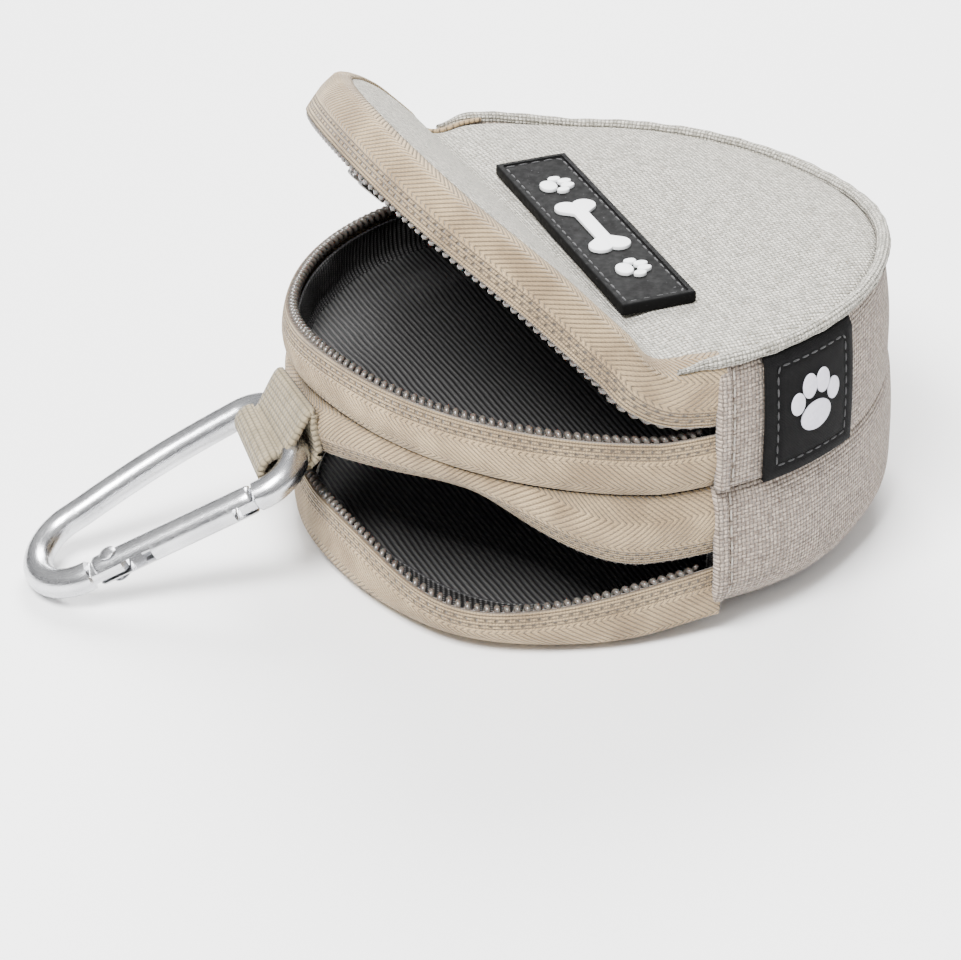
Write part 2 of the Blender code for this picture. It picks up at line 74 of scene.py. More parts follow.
# Rest shape: how far the opened pouch has sprung from its closed shape
LID_OPEN = math.radians(48.0)
FOLD_HALF = 7.0 * MM
FRONT_SLOPE = 0.12
FAR_SHARE = 0.2

# Edges of the zip tapes
UPPER_EDGE = 37.2 * MM
LID_EDGE = 41.9 * MM
ROOF_EDGE = 15.9 * MM
FLAP_EDGE = 12.7 * MM
CLOTH = 0.7 * MM
CANVAS = 0.9 * MM
CANVAS_THIN = 0.8 * MM
LINING = 0.3 * MM
HEM_LIFT = 1.0 * MM
HEM_WIDTH = 2.7 * MM
WEBBING = 1.1 * MM
TOOTH_PITCH = 1.55 * MM
COIL_RADIUS = 0.62 * MM
COIL_WIRE = 0.40 * MM
COIL_INSET = 1.15 * MM
COIL_DROP = 0.42 * MM
SLIDER_ANGLE = 101.5
UPPER_SLIDER_Z = 38.5 * MM
LOWER_SLIDER_Z = 14.2 * MM
PULL_LENGTH = 10.0 * MM
PULL_HALF = 2.4 * MM
PULL_THICKNESS = 0.9 * MM
PULL_HOLE = 1.1 * MM


# ------------------------------------------------------------------ materials

class Cloth:
    """A small helper that writes a node material from arithmetic on the piece's own surface map."""

    def __init__(self, name, roughness=0.85, metallic=0.0):
        self.material = bpy.data.materials.new(name)
        self.material.use_nodes = True
        self.tree = self.material.node_tree
        self.shader = self.tree.nodes["Principled BSDF"]
        self.shader.inputs["Roughness"].default_value = roughness
        self.shader.inputs["Metallic"].default_value = metallic

    def node(self, kind):
        return self.tree.nodes.new(kind)

    def link(self, source, target):
        self.tree.links.new(source, target)

    def put(self, socket, value):
        if hasattr(value, "is_linked"):
            self.link(value, socket)
        else:
            socket.default_value = value

    def calc(self, operation, a, b=0.0, c=0.0):
        node = self.node("ShaderNodeMath")
        node.operation = operation
        for socket, value in zip(node.inputs, (a, b, c)):
            self.put(socket, value)
        return node.outputs[0]

    def surface(self):
        """The piece's map, in millimetres: along and across."""
        node = self.node("ShaderNodeSeparateXYZ")
        self.link(self.node("ShaderNodeUVMap").outputs[0], node.inputs[0])
        return node.outputs[0], node.outputs[1]

    def place(self):
        return self.node("ShaderNodeTexCoord").outputs["Object"]

    def vector(self, x, y, z=0.0):
        node = self.node("ShaderNodeCombineXYZ")
        for socket, value in zip(node.inputs, (x, y, z)):
            self.put(socket, value)
        return node.outputs[0]

    def noise(self, vector, scale, detail=2.0):
        node = self.node("ShaderNodeTexNoise")
        node.inputs["Scale"].default_value = scale
        node.inputs["Detail"].default_value = detail
        self.link(vector, node.inputs["Vector"])
        return node.outputs["Fac"]

    def remap(self, value, low, high, to_low=0.0, to_high=1.0):
        node = self.node("ShaderNodeMapRange")
        for socket, number in zip(node.inputs, (value, low, high, to_low, to_high)):
            self.put(socket, number)
        return node.outputs[0]

    def blend(self, share, first, second):
        node = self.node("ShaderNodeMix")
        node.data_type = "RGBA"
        self.put(node.inputs["Factor"], share)
        self.put(node.inputs[6], first)
        self.put(node.inputs[7], second)
        return node.outputs[2]

    def choose(self, share, first, second):
        node = self.node("ShaderNodeMix")
        self.put(node.inputs["Factor"], share)
        self.put(node.inputs[2], first)
        self.put(node.inputs[3], second)
        return node.outputs[0]

    def finish(self, colour=None, height=None, depth=0.0002, roughness=None, strength=1.0):
        if colour is not None:
            self.put(self.shader.inputs["Base Color"], colour)
        if roughness is not None:
            self.put(self.shader.inputs["Roughness"], roughness)
        if height is not None:
            bump = self.node("ShaderNodeBump")
            bump.inputs["Distance"].default_value = depth
            bump.inputs["Strength"].default_value = strength
            self.link(height, bump.inputs["Height"])
            self.link(bump.outputs[0], self.shader.inputs["Normal"])
        return self.material

    def add(self, a, b):
        return self.calc("ADD", a, b)

    def subtract(self, a, b):
        return self.calc("SUBTRACT", a, b)

    def times(self, a, b):
        return self.calc("MULTIPLY", a, b)

    def sine(self, value, pitch):
        return self.calc("SINE", self.times(value, math.pi / pitch))

    def wave(self, value, pitch):
        """A rounded ridge that repeats each pitch: 0 in the groove, 1 on the ridge."""
        return self.calc("ABSOLUTE", self.sine(value, pitch))

    def set(self, **values):
        """Set plain numbers on the shader's own sockets; underscores stand for spaces."""
        for name, value in values.items():
            self.shader.inputs[name.replace("_", " ")].default_value = value


def rgb(red, green, blue):
    return (red, green, blue, 1.0)


def weave(cloth, u, v, pitch):
    """Plain weave: the height, and which thread is on top."""
    across = cloth.sine(u, pitch)
    along = cloth.sine(v, pitch)
    over = cloth.calc("GREATER_THAN", cloth.times(across, along), 0.0)
    ridge_u = cloth.calc("ABSOLUTE", across)
    ridge_v = cloth.calc("ABSOLUTE", along)
    warp = cloth.times(ridge_u, cloth.calc("MULTIPLY_ADD", ridge_v, 0.55, 0.45))
    weft = cloth.times(ridge_v, cloth.calc("MULTIPLY_ADD", ridge_u, 0.55, 0.45))
    return cloth.choose(over, weft, warp), over


def canvas_material(name, light, grey, brown):
    """Heathered plain weave: each thread changes colour along its length, and painted shade darkens the
    grooves between threads.
    """
    cloth = Cloth(name, 0.88)
    u, v = cloth.surface()
    drift = cloth.noise(cloth.place(), 90.0, 2.0)
    shift = cloth.times(cloth.subtract(drift, 0.5), 0.5)
    u = cloth.add(u, shift)
    v = cloth.add(v, shift)
    height, over = weave(cloth, u, v, 0.72)
    warp_tone = cloth.noise(cloth.vector(cloth.times(u, 1.6), cloth.times(v, 0.28)), 1.0)
    weft_tone = cloth.noise(cloth.vector(cloth.times(u, 0.28), cloth.times(v, 1.6), 7.0), 1.0)
    tone = cloth.choose(over, weft_tone, warp_tone)
    colour = cloth.blend(cloth.remap(tone, 0.38, 0.62), grey, light)
    speck = cloth.remap(cloth.noise(cloth.vector(u, v, 3.0), 1.5, 3.0), 0.60, 0.70)
    colour = cloth.blend(cloth.times(speck, 0.55), colour, brown)
    # painted shade: the low grooves of the weave are blended towards a dark grey
    groove = cloth.remap(height, 0.05, 0.62, 1.0, 0.0)
    colour = cloth.blend(groove, colour, rgb(grey[0] * 0.42, grey[1] * 0.40, grey[2] * 0.36))
    fibre = cloth.noise(cloth.vector(cloth.times(u, 9.0), cloth.times(v, 9.0)), 1.0, 2.0)
    cloth.set(Sheen_Weight=0.25)
    cloth.set(Sheen_Roughness=0.5)
    relief = cloth.calc("MULTIPLY_ADD", fibre, 0.25, height)
    return cloth.finish(colour, relief, 0.00045)


def tape_material():
    """Herringbone zip tape with a plain ribbed edge and two staggered rows of stitch holes; painted shade
    darkens the low parts of the weave and the holes.
    """
    cloth = Cloth("zip_tape", 0.82)
    u, v = cloth.surface()
    column = 4.6
    zigzag = cloth.calc("PINGPONG", cloth.add(v, 1.0), column)
    stripe = cloth.wave(cloth.add(u, cloth.times(zigzag, 1.15)), 1.06)
    yarn = cloth.wave(cloth.subtract(v, cloth.times(stripe, 0.2)), 0.46)
    twill = cloth.times(cloth.calc("POWER", stripe, 0.6), cloth.calc("MULTIPLY_ADD", yarn, 0.35, 0.65))
    edge_rib = cloth.times(cloth.wave(v, 0.55), cloth.calc("MULTIPLY_ADD", cloth.wave(u, 0.5), 0.5, 0.5))
    edge = cloth.remap(v, 2.9, 3.3)
    height = cloth.choose(edge, edge_rib, twill)
    holes = 0.0
    for row, shift in ((1.35, 0.0), (2.35, 0.8)):
        near_u = cloth.calc("PINGPONG", cloth.add(u, shift), 0.8)
        near_v = cloth.calc("ABSOLUTE", cloth.subtract(v, row))
        far = cloth.calc("SQRT", cloth.add(cloth.calc("POWER", cloth.times(near_u, 0.75), 2.0),
                                            cloth.calc("POWER", near_v, 2.0)))
        holes = cloth.calc("MAXIMUM", holes, cloth.remap(far, 0.14, 0.30, 1.0, 0.0))
    tone = cloth.noise(cloth.place(), 160.0, 3.0)
    colour = cloth.blend(cloth.remap(tone, 0.35, 0.68), rgb(0.29, 0.20, 0.105), rgb(0.475, 0.345, 0.19))
    # painted shade: the low parts of the herringbone and the ribbed edge are blended towards dark brown
    colour = cloth.blend(cloth.remap(height, 0.08, 0.66, 0.92, 0.0), colour, rgb(0.085, 0.055, 0.03))
    # painted shade: the sunken stitch holes are darkened
    colour = cloth.blend(cloth.times(holes, 0.82), colour, rgb(0.055, 0.04, 0.028))
    fibre = cloth.noise(cloth.place(), 3500.0, 1.0)
    relief = cloth.subtract(cloth.calc("MULTIPLY_ADD", fibre, 0.15, height), cloth.times(holes, 1.2))
    cloth.set(Sheen_Weight=0.2)
    return cloth.finish(colour, relief, 0.00042)


def lining_material():
    """Dark ribbed nylon: black, with a painted highlight of grey along the tops of the fine dotted ribs."""
    cloth = Cloth("lining", 0.62)
    u, v = cloth.surface()
    wander = cloth.times(cloth.noise(cloth.place(), 60.0), 1.2)
    rib = cloth.wave(cloth.add(u, wander), 1.0)
    dot = cloth.wave(v, 0.42)
    height = cloth.times(cloth.calc("POWER", rib, 1.4), cloth.calc("MULTIPLY_ADD", dot, 0.6, 0.4))
    # painted highlight: the rib tops are blended from black towards grey
    painted_rib_highlight = cloth.remap(height, 0.45, 0.98, 0.0, 0.8)
    colour = cloth.blend(painted_rib_highlight, rgb(0.018, 0.0175, 0.018), rgb(0.13, 0.125, 0.12))
    cloth.set(Specular_IOR_Level=0.35)
    return cloth.finish(colour, height, 0.0004)


def webbing_material():
    """Ribbed webbing: floats in rows across the strap, with painted shade in the low parts between them."""
    cloth = Cloth("webbing", 0.8)
    u, v = cloth.surface()
    row = cloth.wave(u, 1.05)
    stagger = cloth.times(cloth.calc("FLOOR", cloth.calc("DIVIDE", u, 1.05)), 0.45)
    floats = cloth.wave(cloth.add(v, stagger), 0.9)
    height = cloth.times(cloth.calc("POWER", row, 0.7), cloth.calc("MULTIPLY_ADD", floats, 0.6, 0.4))
    tone = cloth.noise(cloth.place(), 400.0, 2.0)
    colour = cloth.blend(cloth.remap(tone, 0.3, 0.7), rgb(0.225, 0.183, 0.11), rgb(0.32, 0.262, 0.165))
    # painted shade: the low parts between floats and rows are blended towards dark brown
    colour = cloth.blend(cloth.remap(height, 0.05, 0.6, 0.9, 0.0), colour, rgb(0.10, 0.082, 0.05))
    cloth.set(Sheen_Weight=0.15)
    return cloth.finish(colour, height, 0.0003)


def label_material():
    cloth = Cloth("woven_label", 0.78)
    u, v = cloth.surface()
    height, _over = weave(cloth, u, v, 0.26)
    tone = cloth.noise(cloth.place(), 500.0, 3.0)
    colour = cloth.blend(tone, rgb(0.0015, 0.0015, 0.0016), rgb(0.006, 0.0058, 0.0062))
    cloth.set(Specular_IOR_Level=0.1)
    return cloth.finish(colour, height, 0.0001)


def thread_material(name, dark, light):
    cloth = Cloth(name, 0.7)
    place = cloth.place()
    tone = cloth.noise(place, 1400.0, 2.0)
    cloth.set(Sheen_Weight=0.2)
    return cloth.finish(cloth.blend(tone, dark, light), tone, 0.00008)


def rubber_material(name, dark, light, roughness):
    cloth = Cloth(name, roughness)
    place = cloth.place()
    tone = cloth.noise(place, 900.0, 4.0)
    broad = cloth.noise(place, 120.0, 2.0)
    dust = cloth.remap(cloth.noise(place, 2600.0, 1.0), 0.74, 0.80)
    colour = cloth.blend(cloth.times(dust, 0.25), cloth.blend(broad, dark, light), rgb(0.25, 0.25, 0.26))
    cloth.set(Specular_IOR_Level=0.08)
    rough = cloth.remap(tone, 0.3, 0.7, roughness - 0.08, roughness + 0.10)
    return cloth.finish(colour, tone, 0.00003, rough)


def tooth_material():
    cloth = Cloth("coil_nylon", 0.25)
    place = cloth.place()
    tone = cloth.noise(place, 700.0, 2.0)
    colour = cloth.blend(tone, rgb(0.055, 0.046, 0.040), rgb(0.15, 0.13, 0.112))
    cloth.set(Coat_Weight=0.3)
    cloth.set(Subsurface_Weight=0.15)
    cloth.set(Subsurface_Scale=0.0006)
    return cloth.finish(colour, tone, 0.00002)


def metal_material(name, base, roughness, grain, scratch_depth):
    """Satin metal: fine drawn grain, soft blotches and a few handling marks."""
    cloth = Cloth(name, roughness, 1.0)
    u, v = cloth.surface()
    drawn = cloth.noise(cloth.vector(cloth.times(u, 0.5), cloth.times(v, grain)), 1.0, 3.0)
    blotch = cloth.noise(cloth.place(), 130.0, 3.0)
    marks = cloth.remap(cloth.noise(cloth.place(), 900.0, 2.0), 0.62, 0.74)
    dull = rgb(base[0] * 0.78, base[1] * 0.78, base[2] * 0.79)
    colour = cloth.blend(cloth.remap(blotch, 0.35, 0.7), dull, base)
    colour = cloth.blend(cloth.times(marks, 0.3), colour, rgb(0.42, 0.42, 0.43))
    rough = cloth.add(cloth.remap(drawn, 0.3, 0.7, roughness - 0.05, roughness + 0.08),
                       cloth.times(marks, 0.12))
    return cloth.finish(colour, drawn, scratch_depth, rough, 0.6)


MATERIALS = {
    "top": canvas_material("canvas_top", rgb(0.74, 0.70, 0.61), rgb(0.30, 0.285, 0.235),
                           rgb(0.27, 0.20, 0.13)),
    "gusset": canvas_material("canvas_gusset", rgb(0.56, 0.455, 0.365), rgb(0.215, 0.165, 0.13),
                              rgb(0.19, 0.11, 0.07)),
    "tape": tape_material(),
    "lining": lining_material(),
    "webbing": webbing_material(),
    "label": label_material(),
    "thread": thread_material("thread_pale", rgb(0.42, 0.38, 0.33), rgb(0.62, 0.58, 0.52)),
    "dark_thread": thread_material("thread_black", rgb(0.008, 0.008, 0.009), rgb(0.03, 0.03, 0.032)),
    "white_thread": thread_material("thread_white", rgb(0.55, 0.53, 0.62), rgb(0.74, 0.73, 0.80)),
    "rubber": rubber_material("rubber_black", rgb(0.0022, 0.0022, 0.0023), rgb(0.0045, 0.0045, 0.0046),
                              0.68),
    "rubber_white": rubber_material("rubber_white", rgb(0.80, 0.81, 0.82), rgb(0.88, 0.89, 0.90), 0.45),
    "coil": tooth_material(),
    "aluminium": metal_material("satin_aluminium", rgb(0.66, 0.665, 0.68), 0.24, 9.0, 0.00002),
    "steel": metal_material("plated_steel", rgb(0.62, 0.62, 0.63), 0.28, 6.0, 0.00001),
    "zinc": metal_material("dull_zinc", rgb(0.36, 0.35, 0.34), 0.38, 6.0, 0.00002),
}


# ------------------------------------------------------------------ mesh helpers

def smooth_step(t):
    t = np.clip(t, 0.0, 1.0)
    return t * t * (3.0 - 2.0 * t)


def place_mesh(name, mesh):
    piece = bpy.data.objects.new(name, mesh)
    bpy.context.scene.collection.objects.link(piece)
    return piece


def from_work(name, work, material):
    """A new object from a bmesh, which is freed."""
    mesh = bpy.data.meshes.new(name)
    work.to_mesh(mesh)
    work.free()
    mesh.materials.append(MATERIALS[material])
    return place_mesh(name, mesh)


def settle_normals(piece):
    work = bmesh.new()
    work.from_mesh(piece.data)
    bmesh.ops.recalc_face_normals(work, faces=work.faces)
    work.to_mesh(piece.data)
    work.free()


def smooth(piece, sharp_degrees):
    piece.data.shade_smooth()
    piece.data.set_sharp_from_angle(angle=math.radians(sharp_degrees))


def new_piece(name, vertices, faces, material, uv=None):
    mesh = bpy.data.meshes.new(name)
    mesh.from_pydata([tuple(v) for v in vertices], [], faces)
    if uv is not None:
        layer = mesh.uv_layers.new(name="UVMap")
        corners = np.empty(len(mesh.loops), dtype=np.int64)
        mesh.loops.foreach_get("vertex_index", corners)
        layer.data.foreach_set("uv", np.asarray(uv, dtype=np.float32)[corners].ravel())
    mesh.materials.append(MATERIALS[material])
    mesh.shade_smooth()
    return place_mesh(name, mesh)


def finish_piece(piece, body, slot, *nodes):
    """A piece rides on a body, or for a fold has its placement baked into its mesh, and stands for CAD
    nodes.
    """
    if body == "lid fold":
        blend_lid(piece)
    elif body == "flap fold":
        blend_flap(piece)
    else:
        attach(piece, body)
    if nodes:
        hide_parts(*nodes)
    return piece


def grid_faces(rows, columns, wrap=False):
    faces = []
    for i in range(rows if wrap else rows - 1):
        k = (i + 1) % rows
        for j in range(columns - 1):
            faces.append((i * columns + j, k * columns + j, k * columns + j + 1, i * columns + j + 1))
    return faces


def apply_modifiers(piece):
    depsgraph = bpy.context.evaluated_depsgraph_get()
    mesh = bpy.data.meshes.new_from_object(piece.evaluated_get(depsgraph))
    old = piece.data
    piece.modifiers.clear()
    piece.data = mesh
    bpy.data.meshes.remove(old)
    return piece


def thicken(piece, thickness, offset=-1.0):
    modifier = piece.modifiers.new("thickness", "SOLIDIFY")
    modifier.thickness = thickness
    modifier.offset = offset
    return apply_modifiers(piece)


def face_away_from(piece, centre):
    """Turn the faces so that they look away from a point."""
    mesh = piece.data
    votes = sum((polygon.center - centre).dot(polygon.normal) for polygon in mesh.polygons)
    if votes < 0:
        mesh.flip_normals()
    return piece


def sheet(name, points, uv, material, thickness=CLOTH, centre=None):
    """A cloth surface through a grid of points; its back is one thickness behind its face."""
    rows, columns = points.shape[:2]
    faces = grid_faces(rows, columns)
    piece = new_piece(name, points.reshape(-1, 3), faces, material, uv.reshape(-1, 2) / MM)
    middle = Vector((0, 0, SEAM_Z)) if centre is None else centre
    face_away_from(piece, middle)
    return thicken(piece, thickness) if thickness else piece


def ripple(angle, height, seed, scale=1.0):
    """Smooth wrinkles that repeat round the drum, between -1 and 1."""
    generator = np.random.default_rng(seed)
    total = np.zeros(np.broadcast(angle, height).shape)
    for order in range(3, 15):
        phase, lean = generator.uniform(0, 2 * math.pi), generator.uniform(-1.0, 1.0)
        total = total + np.sin(order * scale * angle + phase + lean * height / (4.0 * MM)) / (order ** 0.6)
    return total / 2.4


def reach(x):
    return np.maximum(0.0, FOLD_X - x)


def front_rise(x, y):
    near = smooth_step((30 * MM - y) / (45 * MM))
    return FRONT_SLOPE * reach(x) * (FAR_SHARE + (1.0 - FAR_SHARE) * near)


def bell(angle, centre, width):
    """A smooth bump round an angle in degrees."""
    return np.exp(-(((angle - math.radians(centre)) / math.radians(width)) ** 2))


def roof_tuck(angle):
    """Inward tuck of the lower opening's upper edge, deepest at the near front."""
    return 4.0 * MM * bell(angle, 218, 16)


def roof_edge(angle):
    """Height of the lower opening's upper edge: it arches up over the mouth."""
    near = smooth_step((math.radians(258) - angle) / math.radians(36))
    far = smooth_step((angle - math.radians(102)) / math.radians(60))
    return ROOF_EDGE - 0.6 * MM + 10.0 * MM * near * far - 3.4 * MM * bell(angle, 180, 14)


def flap_splay(angle):
    """How far the near front of the base flap's rim leans outwards."""
    return 2.0 * MM * bell(angle, 238, 22) + 3.2 * MM * bell(angle, 219, 18)


def flap_drop(angle):
    """How far the near front of the base flap's rim has sunk."""
    return 3.2 * MM * bell(angle, 238, 22) + 2.8 * MM * bell(angle, 221, 16)


def lid_droop(x):
    """The lid's tip curves down a little."""
    return 1.7 * MM * smooth_step((reach(x) - 18 * MM) / (24 * MM))


def around(radius, angle, height):
    angle = np.broadcast_to(angle, np.broadcast(radius, angle, height).shape)
    return np.stack(np.broadcast_arrays(radius * np.cos(angle), radius * np.sin(angle), height), axis=-1)


def fold(points, pivot, angle, half):
    """Bend the front about the fold line, with a soft bend one half-width to each side."""
    turn = angle * smooth_step((pivot.x + half - points[..., 0]) / (2 * half))
    dx, dz = points[..., 0] - pivot.x, points[..., 2] - pivot.z
    bent = points.copy()
    bent[..., 0] = pivot.x + dx * np.cos(turn) + dz * np.sin(turn)
    bent[..., 2] = pivot.z - dx * np.sin(turn) + dz * np.cos(turn)
    return bent


def fold_lid(points):
    return fold(points, LID_PIVOT, LID_OPEN, FOLD_HALF)


def blend_lid(piece):
    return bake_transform(piece)


def blend_flap(piece):
    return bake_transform(piece)


# Angles round the drum: the parted front, the sewn back, and where the coils run
FRONT = np.radians(np.linspace(88.0, 272.0, 231))
BACK = np.radians(np.linspace(-89.5, 90.5, 201))
COIL_ENDS = np.radians((92.0, 268.0))


def band(angles, profile, steps):
    """Points and map of a strip round the drum; profile(angle, t) gives radius and height."""
    t = np.linspace(0.0, 1.0, steps)
    angle, share = np.meshgrid(angles, t, indexing="ij")
    radius, height = profile(angle, share)
    points = around(radius, angle, height)
    step = np.linalg.norm(np.diff(points, axis=1), axis=2)
    across = np.concatenate([np.zeros((len(angles), 1)), np.cumsum(step, axis=1)], axis=1)
    across = across[:, -1:] - across
    uv = np.stack([angle * RADIUS, across], axis=-1)
    return points, uv


# ------------------------------------------------------------------ zip rims

def upper_wall_profile(angle, t):
    x, y = RADIUS * np.cos(angle), RADIUS * np.sin(angle)
    low = SEAM_Z + 0.1 * MM + front_rise(x, y)
    high = UPPER_EDGE + front_rise(x, y)
    bulge = 1.0 * MM * np.sin(math.pi * t) ** 0.8 - 1.1 * MM * (1 - t) ** 5
    fabric = 0.35 * MM * ripple(angle, high * t, 3) * np.sin(math.pi * t)
    return RADIUS - 0.3 * MM + bulge + fabric, low + (high - low) * t


def roof_profile(angle, t):
    x, y = RADIUS * np.cos(angle), RADIUS * np.sin(angle)
    seam = SEAM_Z - 0.1 * MM + front_rise(x, y)
    edge = roof_edge(angle)
    bulge = 1.1 * MM * np.sin(math.pi * t) - 0.8 * MM * (1 - t) ** 5
    fabric = 0.4 * MM * ripple(angle, edge * t, 5) * np.sin(math.pi * t)
    radius = RADIUS - 0.6 * MM - roof_tuck(angle) * t ** 0.8 + bulge + fabric
    return radius, seam + (edge - seam) * t


def flap_profile(angle, t):
    splay = flap_splay(angle)
    edge = FLAP_EDGE - flap_drop(angle)
    fabric = 0.35 * MM * ripple(angle, edge * t, 7) * np.sin(math.pi * t)
    end = bell(angle, 271, 12)
    roll = (2.2 * MM + 1.2 * MM * end) * (1.0 - np.clip(t / 0.22, 0, 1)) ** 2
    radius = RADIUS - 0.6 * MM - roll + splay * t ** 0.55 + fabric
    radius = radius + 0.6 * MM * np.sin(math.pi * t) + 0.25 * splay * np.sin(math.pi * t)
    low = 0.35 * MM + 1.7 * MM * end
    return radius, low + (edge - low) * t ** 1.15


def lid_profile(angle, t):
    x = RADIUS * np.cos(angle)
    top = TOP_Z + 0.15 * MM
    inset = 2.4 * MM + 1.4 * MM * bell(angle, 208, 14) + 1.8 * MM * bell(angle, 262, 8)
    roll = inset * (1.0 - np.clip(t / 0.26, 0, 1)) ** 1.7
    fabric = 0.3 * MM * ripple(angle, top * t, 11) * np.sin(math.pi * t)
    radius = RADIUS + 0.1 * MM - roll + 0.5 * MM * np.sin(math.pi * t) + fabric
    edge = LID_EDGE - 3.0 * MM * smooth_step((angle - math.radians(258)) / math.radians(12))
    edge = edge - 2.0 * MM * smooth_step((math.radians(104) - angle) / math.radians(12))
    return radius, top - (top - edge) * t ** 1.25 - lid_droop(x)


def coil(angles, edge, sign):
    """The coil behind a tape's edge: a helix with a bead at each turn; sign is the way its heads point."""
    length = RADIUS * abs(angles[-1] - angles[0])
    turns = int(length / TOOTH_PITCH)
    steps, sides = 12, 6
    share = np.linspace(0.0, 1.0, turns * steps + 1)
    angle = angles[0] + (angles[-1] - angles[0]) * share
    radius, height = edge(angle)
    spin = 2 * math.pi * turns * share
    head = 0.5 + 0.5 * np.cos(spin)
    swell = COIL_WIRE * (1.0 + 0.45 * head ** 4)
    centre = around(radius - COIL_INSET + COIL_RADIUS * np.sin(spin), angle,
                    height + sign * (COIL_RADIUS * np.cos(spin) - COIL_DROP))
    tangent = np.gradient(centre, axis=0)
    tangent /= np.linalg.norm(tangent, axis=1, keepdims=True)
    out = around(np.ones_like(angle), angle, np.zeros_like(angle))
    side = np.cross(tangent, out)
    side /= np.linalg.norm(side, axis=1, keepdims=True)
    other = np.cross(side, tangent)
    rounds = np.linspace(0, 2 * math.pi, sides, endpoint=False)
    ring = centre[:, None, :] + swell[:, None, None] * (np.cos(rounds)[None, :, None] * side[:, None, :]
                                                        + np.sin(rounds)[None, :, None] * other[:, None, :])
    faces = []
    for i in range(len(share) - 1):
        for j in range(sides):
            k = (j + 1) % sides
            faces.append((i * sides + j, i * sides + k, (i + 1) * sides + k, (i + 1) * sides + j))
    faces.append(tuple(range(sides)))
    faces.append(tuple(len(share) * sides - 1 - j for j in range(sides)))
    return ring, faces


def coil_piece(name, ring, faces):
    piece = new_piece(name, ring.reshape(-1, 3), faces, "coil")
    settle_normals(piece)
    return piece


def build_rims():
    """The four zip tapes, each with its coil: profile, steps across, way its heads point, body."""
    rims = (
        ("wall", upper_wall_profile, 15, 1.0, "pouch", ("upper_wall_tape",), "upper_wall_teeth"),
        ("roof", roof_profile, 15, -1.0, "pouch", ("lower_roof_tape",), "lower_roof_teeth"),
        ("lid", lid_profile, 17, -1.0, "lid fold",
         ("lid_tape", "upper_tape_end_far", "upper_tape_end_near"), "lid_teeth"),
        ("flap", flap_profile, 17, 1.0, "flap fold",
         ("base_flap_tape", "lower_tape_end_far", "lower_tape_end_near"), "base_flap_teeth"),
    )
    for name, profile, steps, heads, body, tape_nodes, teeth_node in rims:
        bend = fold_lid if name == "lid" else np.asarray
        points, uv = band(FRONT, profile, steps)
        tape = sheet(f"{name}_zip_tape", bend(points), uv, "tape")
        finish_piece(tape, body, "tape", *tape_nodes)
        ring, faces = coil(COIL_ENDS, lambda angle, edge=profile: edge(angle, np.ones_like(angle)), heads)
        finish_piece(coil_piece(f"{name}_zip_coil", bend(ring), faces), body, "teeth", teeth_node)


# ------------------------------------------------------------------ canvas

def disc(radius, height, rings=30, spokes=180, inner=0.4 * MM):
    """Points and map of a round panel; height(x, y, r) gives its surface."""
    share = np.linspace(0.0, 1.0, rings) ** 0.75
    angles = np.linspace(0, 2 * math.pi, spokes, endpoint=False)
    r, angle = np.meshgrid(inner + (radius - inner) * share, angles, indexing="ij")
    r, angle = r.T, angle.T
    x, y = r * np.cos(angle), r * np.sin(angle)
    return np.stack([x, y, height(x, y, r)], axis=-1), np.stack([x, y], axis=-1)


def disc_piece(name, points, uv, material, thickness, up=True):
    spokes, rings = points.shape[:2]
    faces = grid_faces(spokes, rings, wrap=True)
    faces.append(tuple(i * rings for i in range(spokes)))
    piece = new_piece(name, points.reshape(-1, 3), faces, material, uv.reshape(-1, 2) / MM)
    below = Vector((0.0, 0.0, -1.0 if up else 1.0))
    face_away_from(piece, below)
    return thicken(piece, thickness) if thickness else piece


def top_sink(angle):
    """The back of the top has sunk, most at the far side."""
    lean = np.abs(angle - math.radians(58))
    back = smooth_step((math.radians(94) - np.abs(angle)) / math.radians(30))
    return 3.6 * MM * smooth_step((math.radians(95) - lean) / math.radians(60)) * back


def top_height(x, y, r):
    dome = 0.5 * MM * (1 - (r / RADIUS) ** 2)
    edge = -1.6 * MM * np.clip((r - 0.90 * RADIUS) / (0.1 * RADIUS), 0, 1) ** 2
    quilt = 0.25 * MM * np.sin(x / (9 * MM) + 1.3) * np.sin(y / (11 * MM))
    sink = top_sink(np.arctan2(y, x)) * np.clip((r / RADIUS - 0.45) / 0.55, 0, 1) ** 2
    return TOP_Z - 0.1 * MM + dome + edge + quilt - lid_droop(x) - sink


def build_top():
    points, uv = disc(RADIUS - 1.3 * MM, top_height, 34, 220)
    top = disc_piece("top_canvas", fold_lid(points), uv, "top", CANVAS_THIN)
    finish_piece(top, "lid fold", "canvas", "top_back_panel", "lid_panel")
    points, uv = disc(RADIUS - 3.4 * MM, lambda x, y, r: top_height(x, y, r) - 1.7 * MM, 30, 160)
    lining = disc_piece("top_lining", fold_lid(points), uv, "lining", LINING, up=False)
    finish_piece(lining, "lid fold", "lining", "top_back_lining", "lid_lining")


def build_welt():
    """The puckered roll of canvas where the top is sewn to the upper gusset."""
    ring_angles = np.radians(np.linspace(-97.0, 97.0, 360))
    rounds = np.linspace(0, 2 * math.pi, 13)
    angle, turn = np.meshgrid(ring_angles, rounds, indexing="ij")
    fade = smooth_step((np.radians(97) - np.abs(angle)) / np.radians(9))
    pucker = 1.0 + 0.05 * np.sin(angle * RADIUS / (0.9 * MM) + 1.5 * turn)
    pucker = pucker + 0.12 * ripple(angle, turn * 0, 21, 3.0)
    size = (0.35 + 0.65 * fade) * pucker
    radius = RADIUS - 0.3 * MM + 1.15 * MM * size * np.cos(turn)
    height = TOP_Z - 0.35 * MM - top_sink(angle) + 1.15 * MM * size * np.sin(turn)
    points = around(radius, angle, height)
    uv = np.stack([angle * RADIUS, turn * 1.2 * MM], axis=-1)
    welt = sheet("top_edge_welt", fold_lid(points), uv, "top", thickness=0.0)
    finish_piece(welt, "lid fold", "canvas", "top_welt")


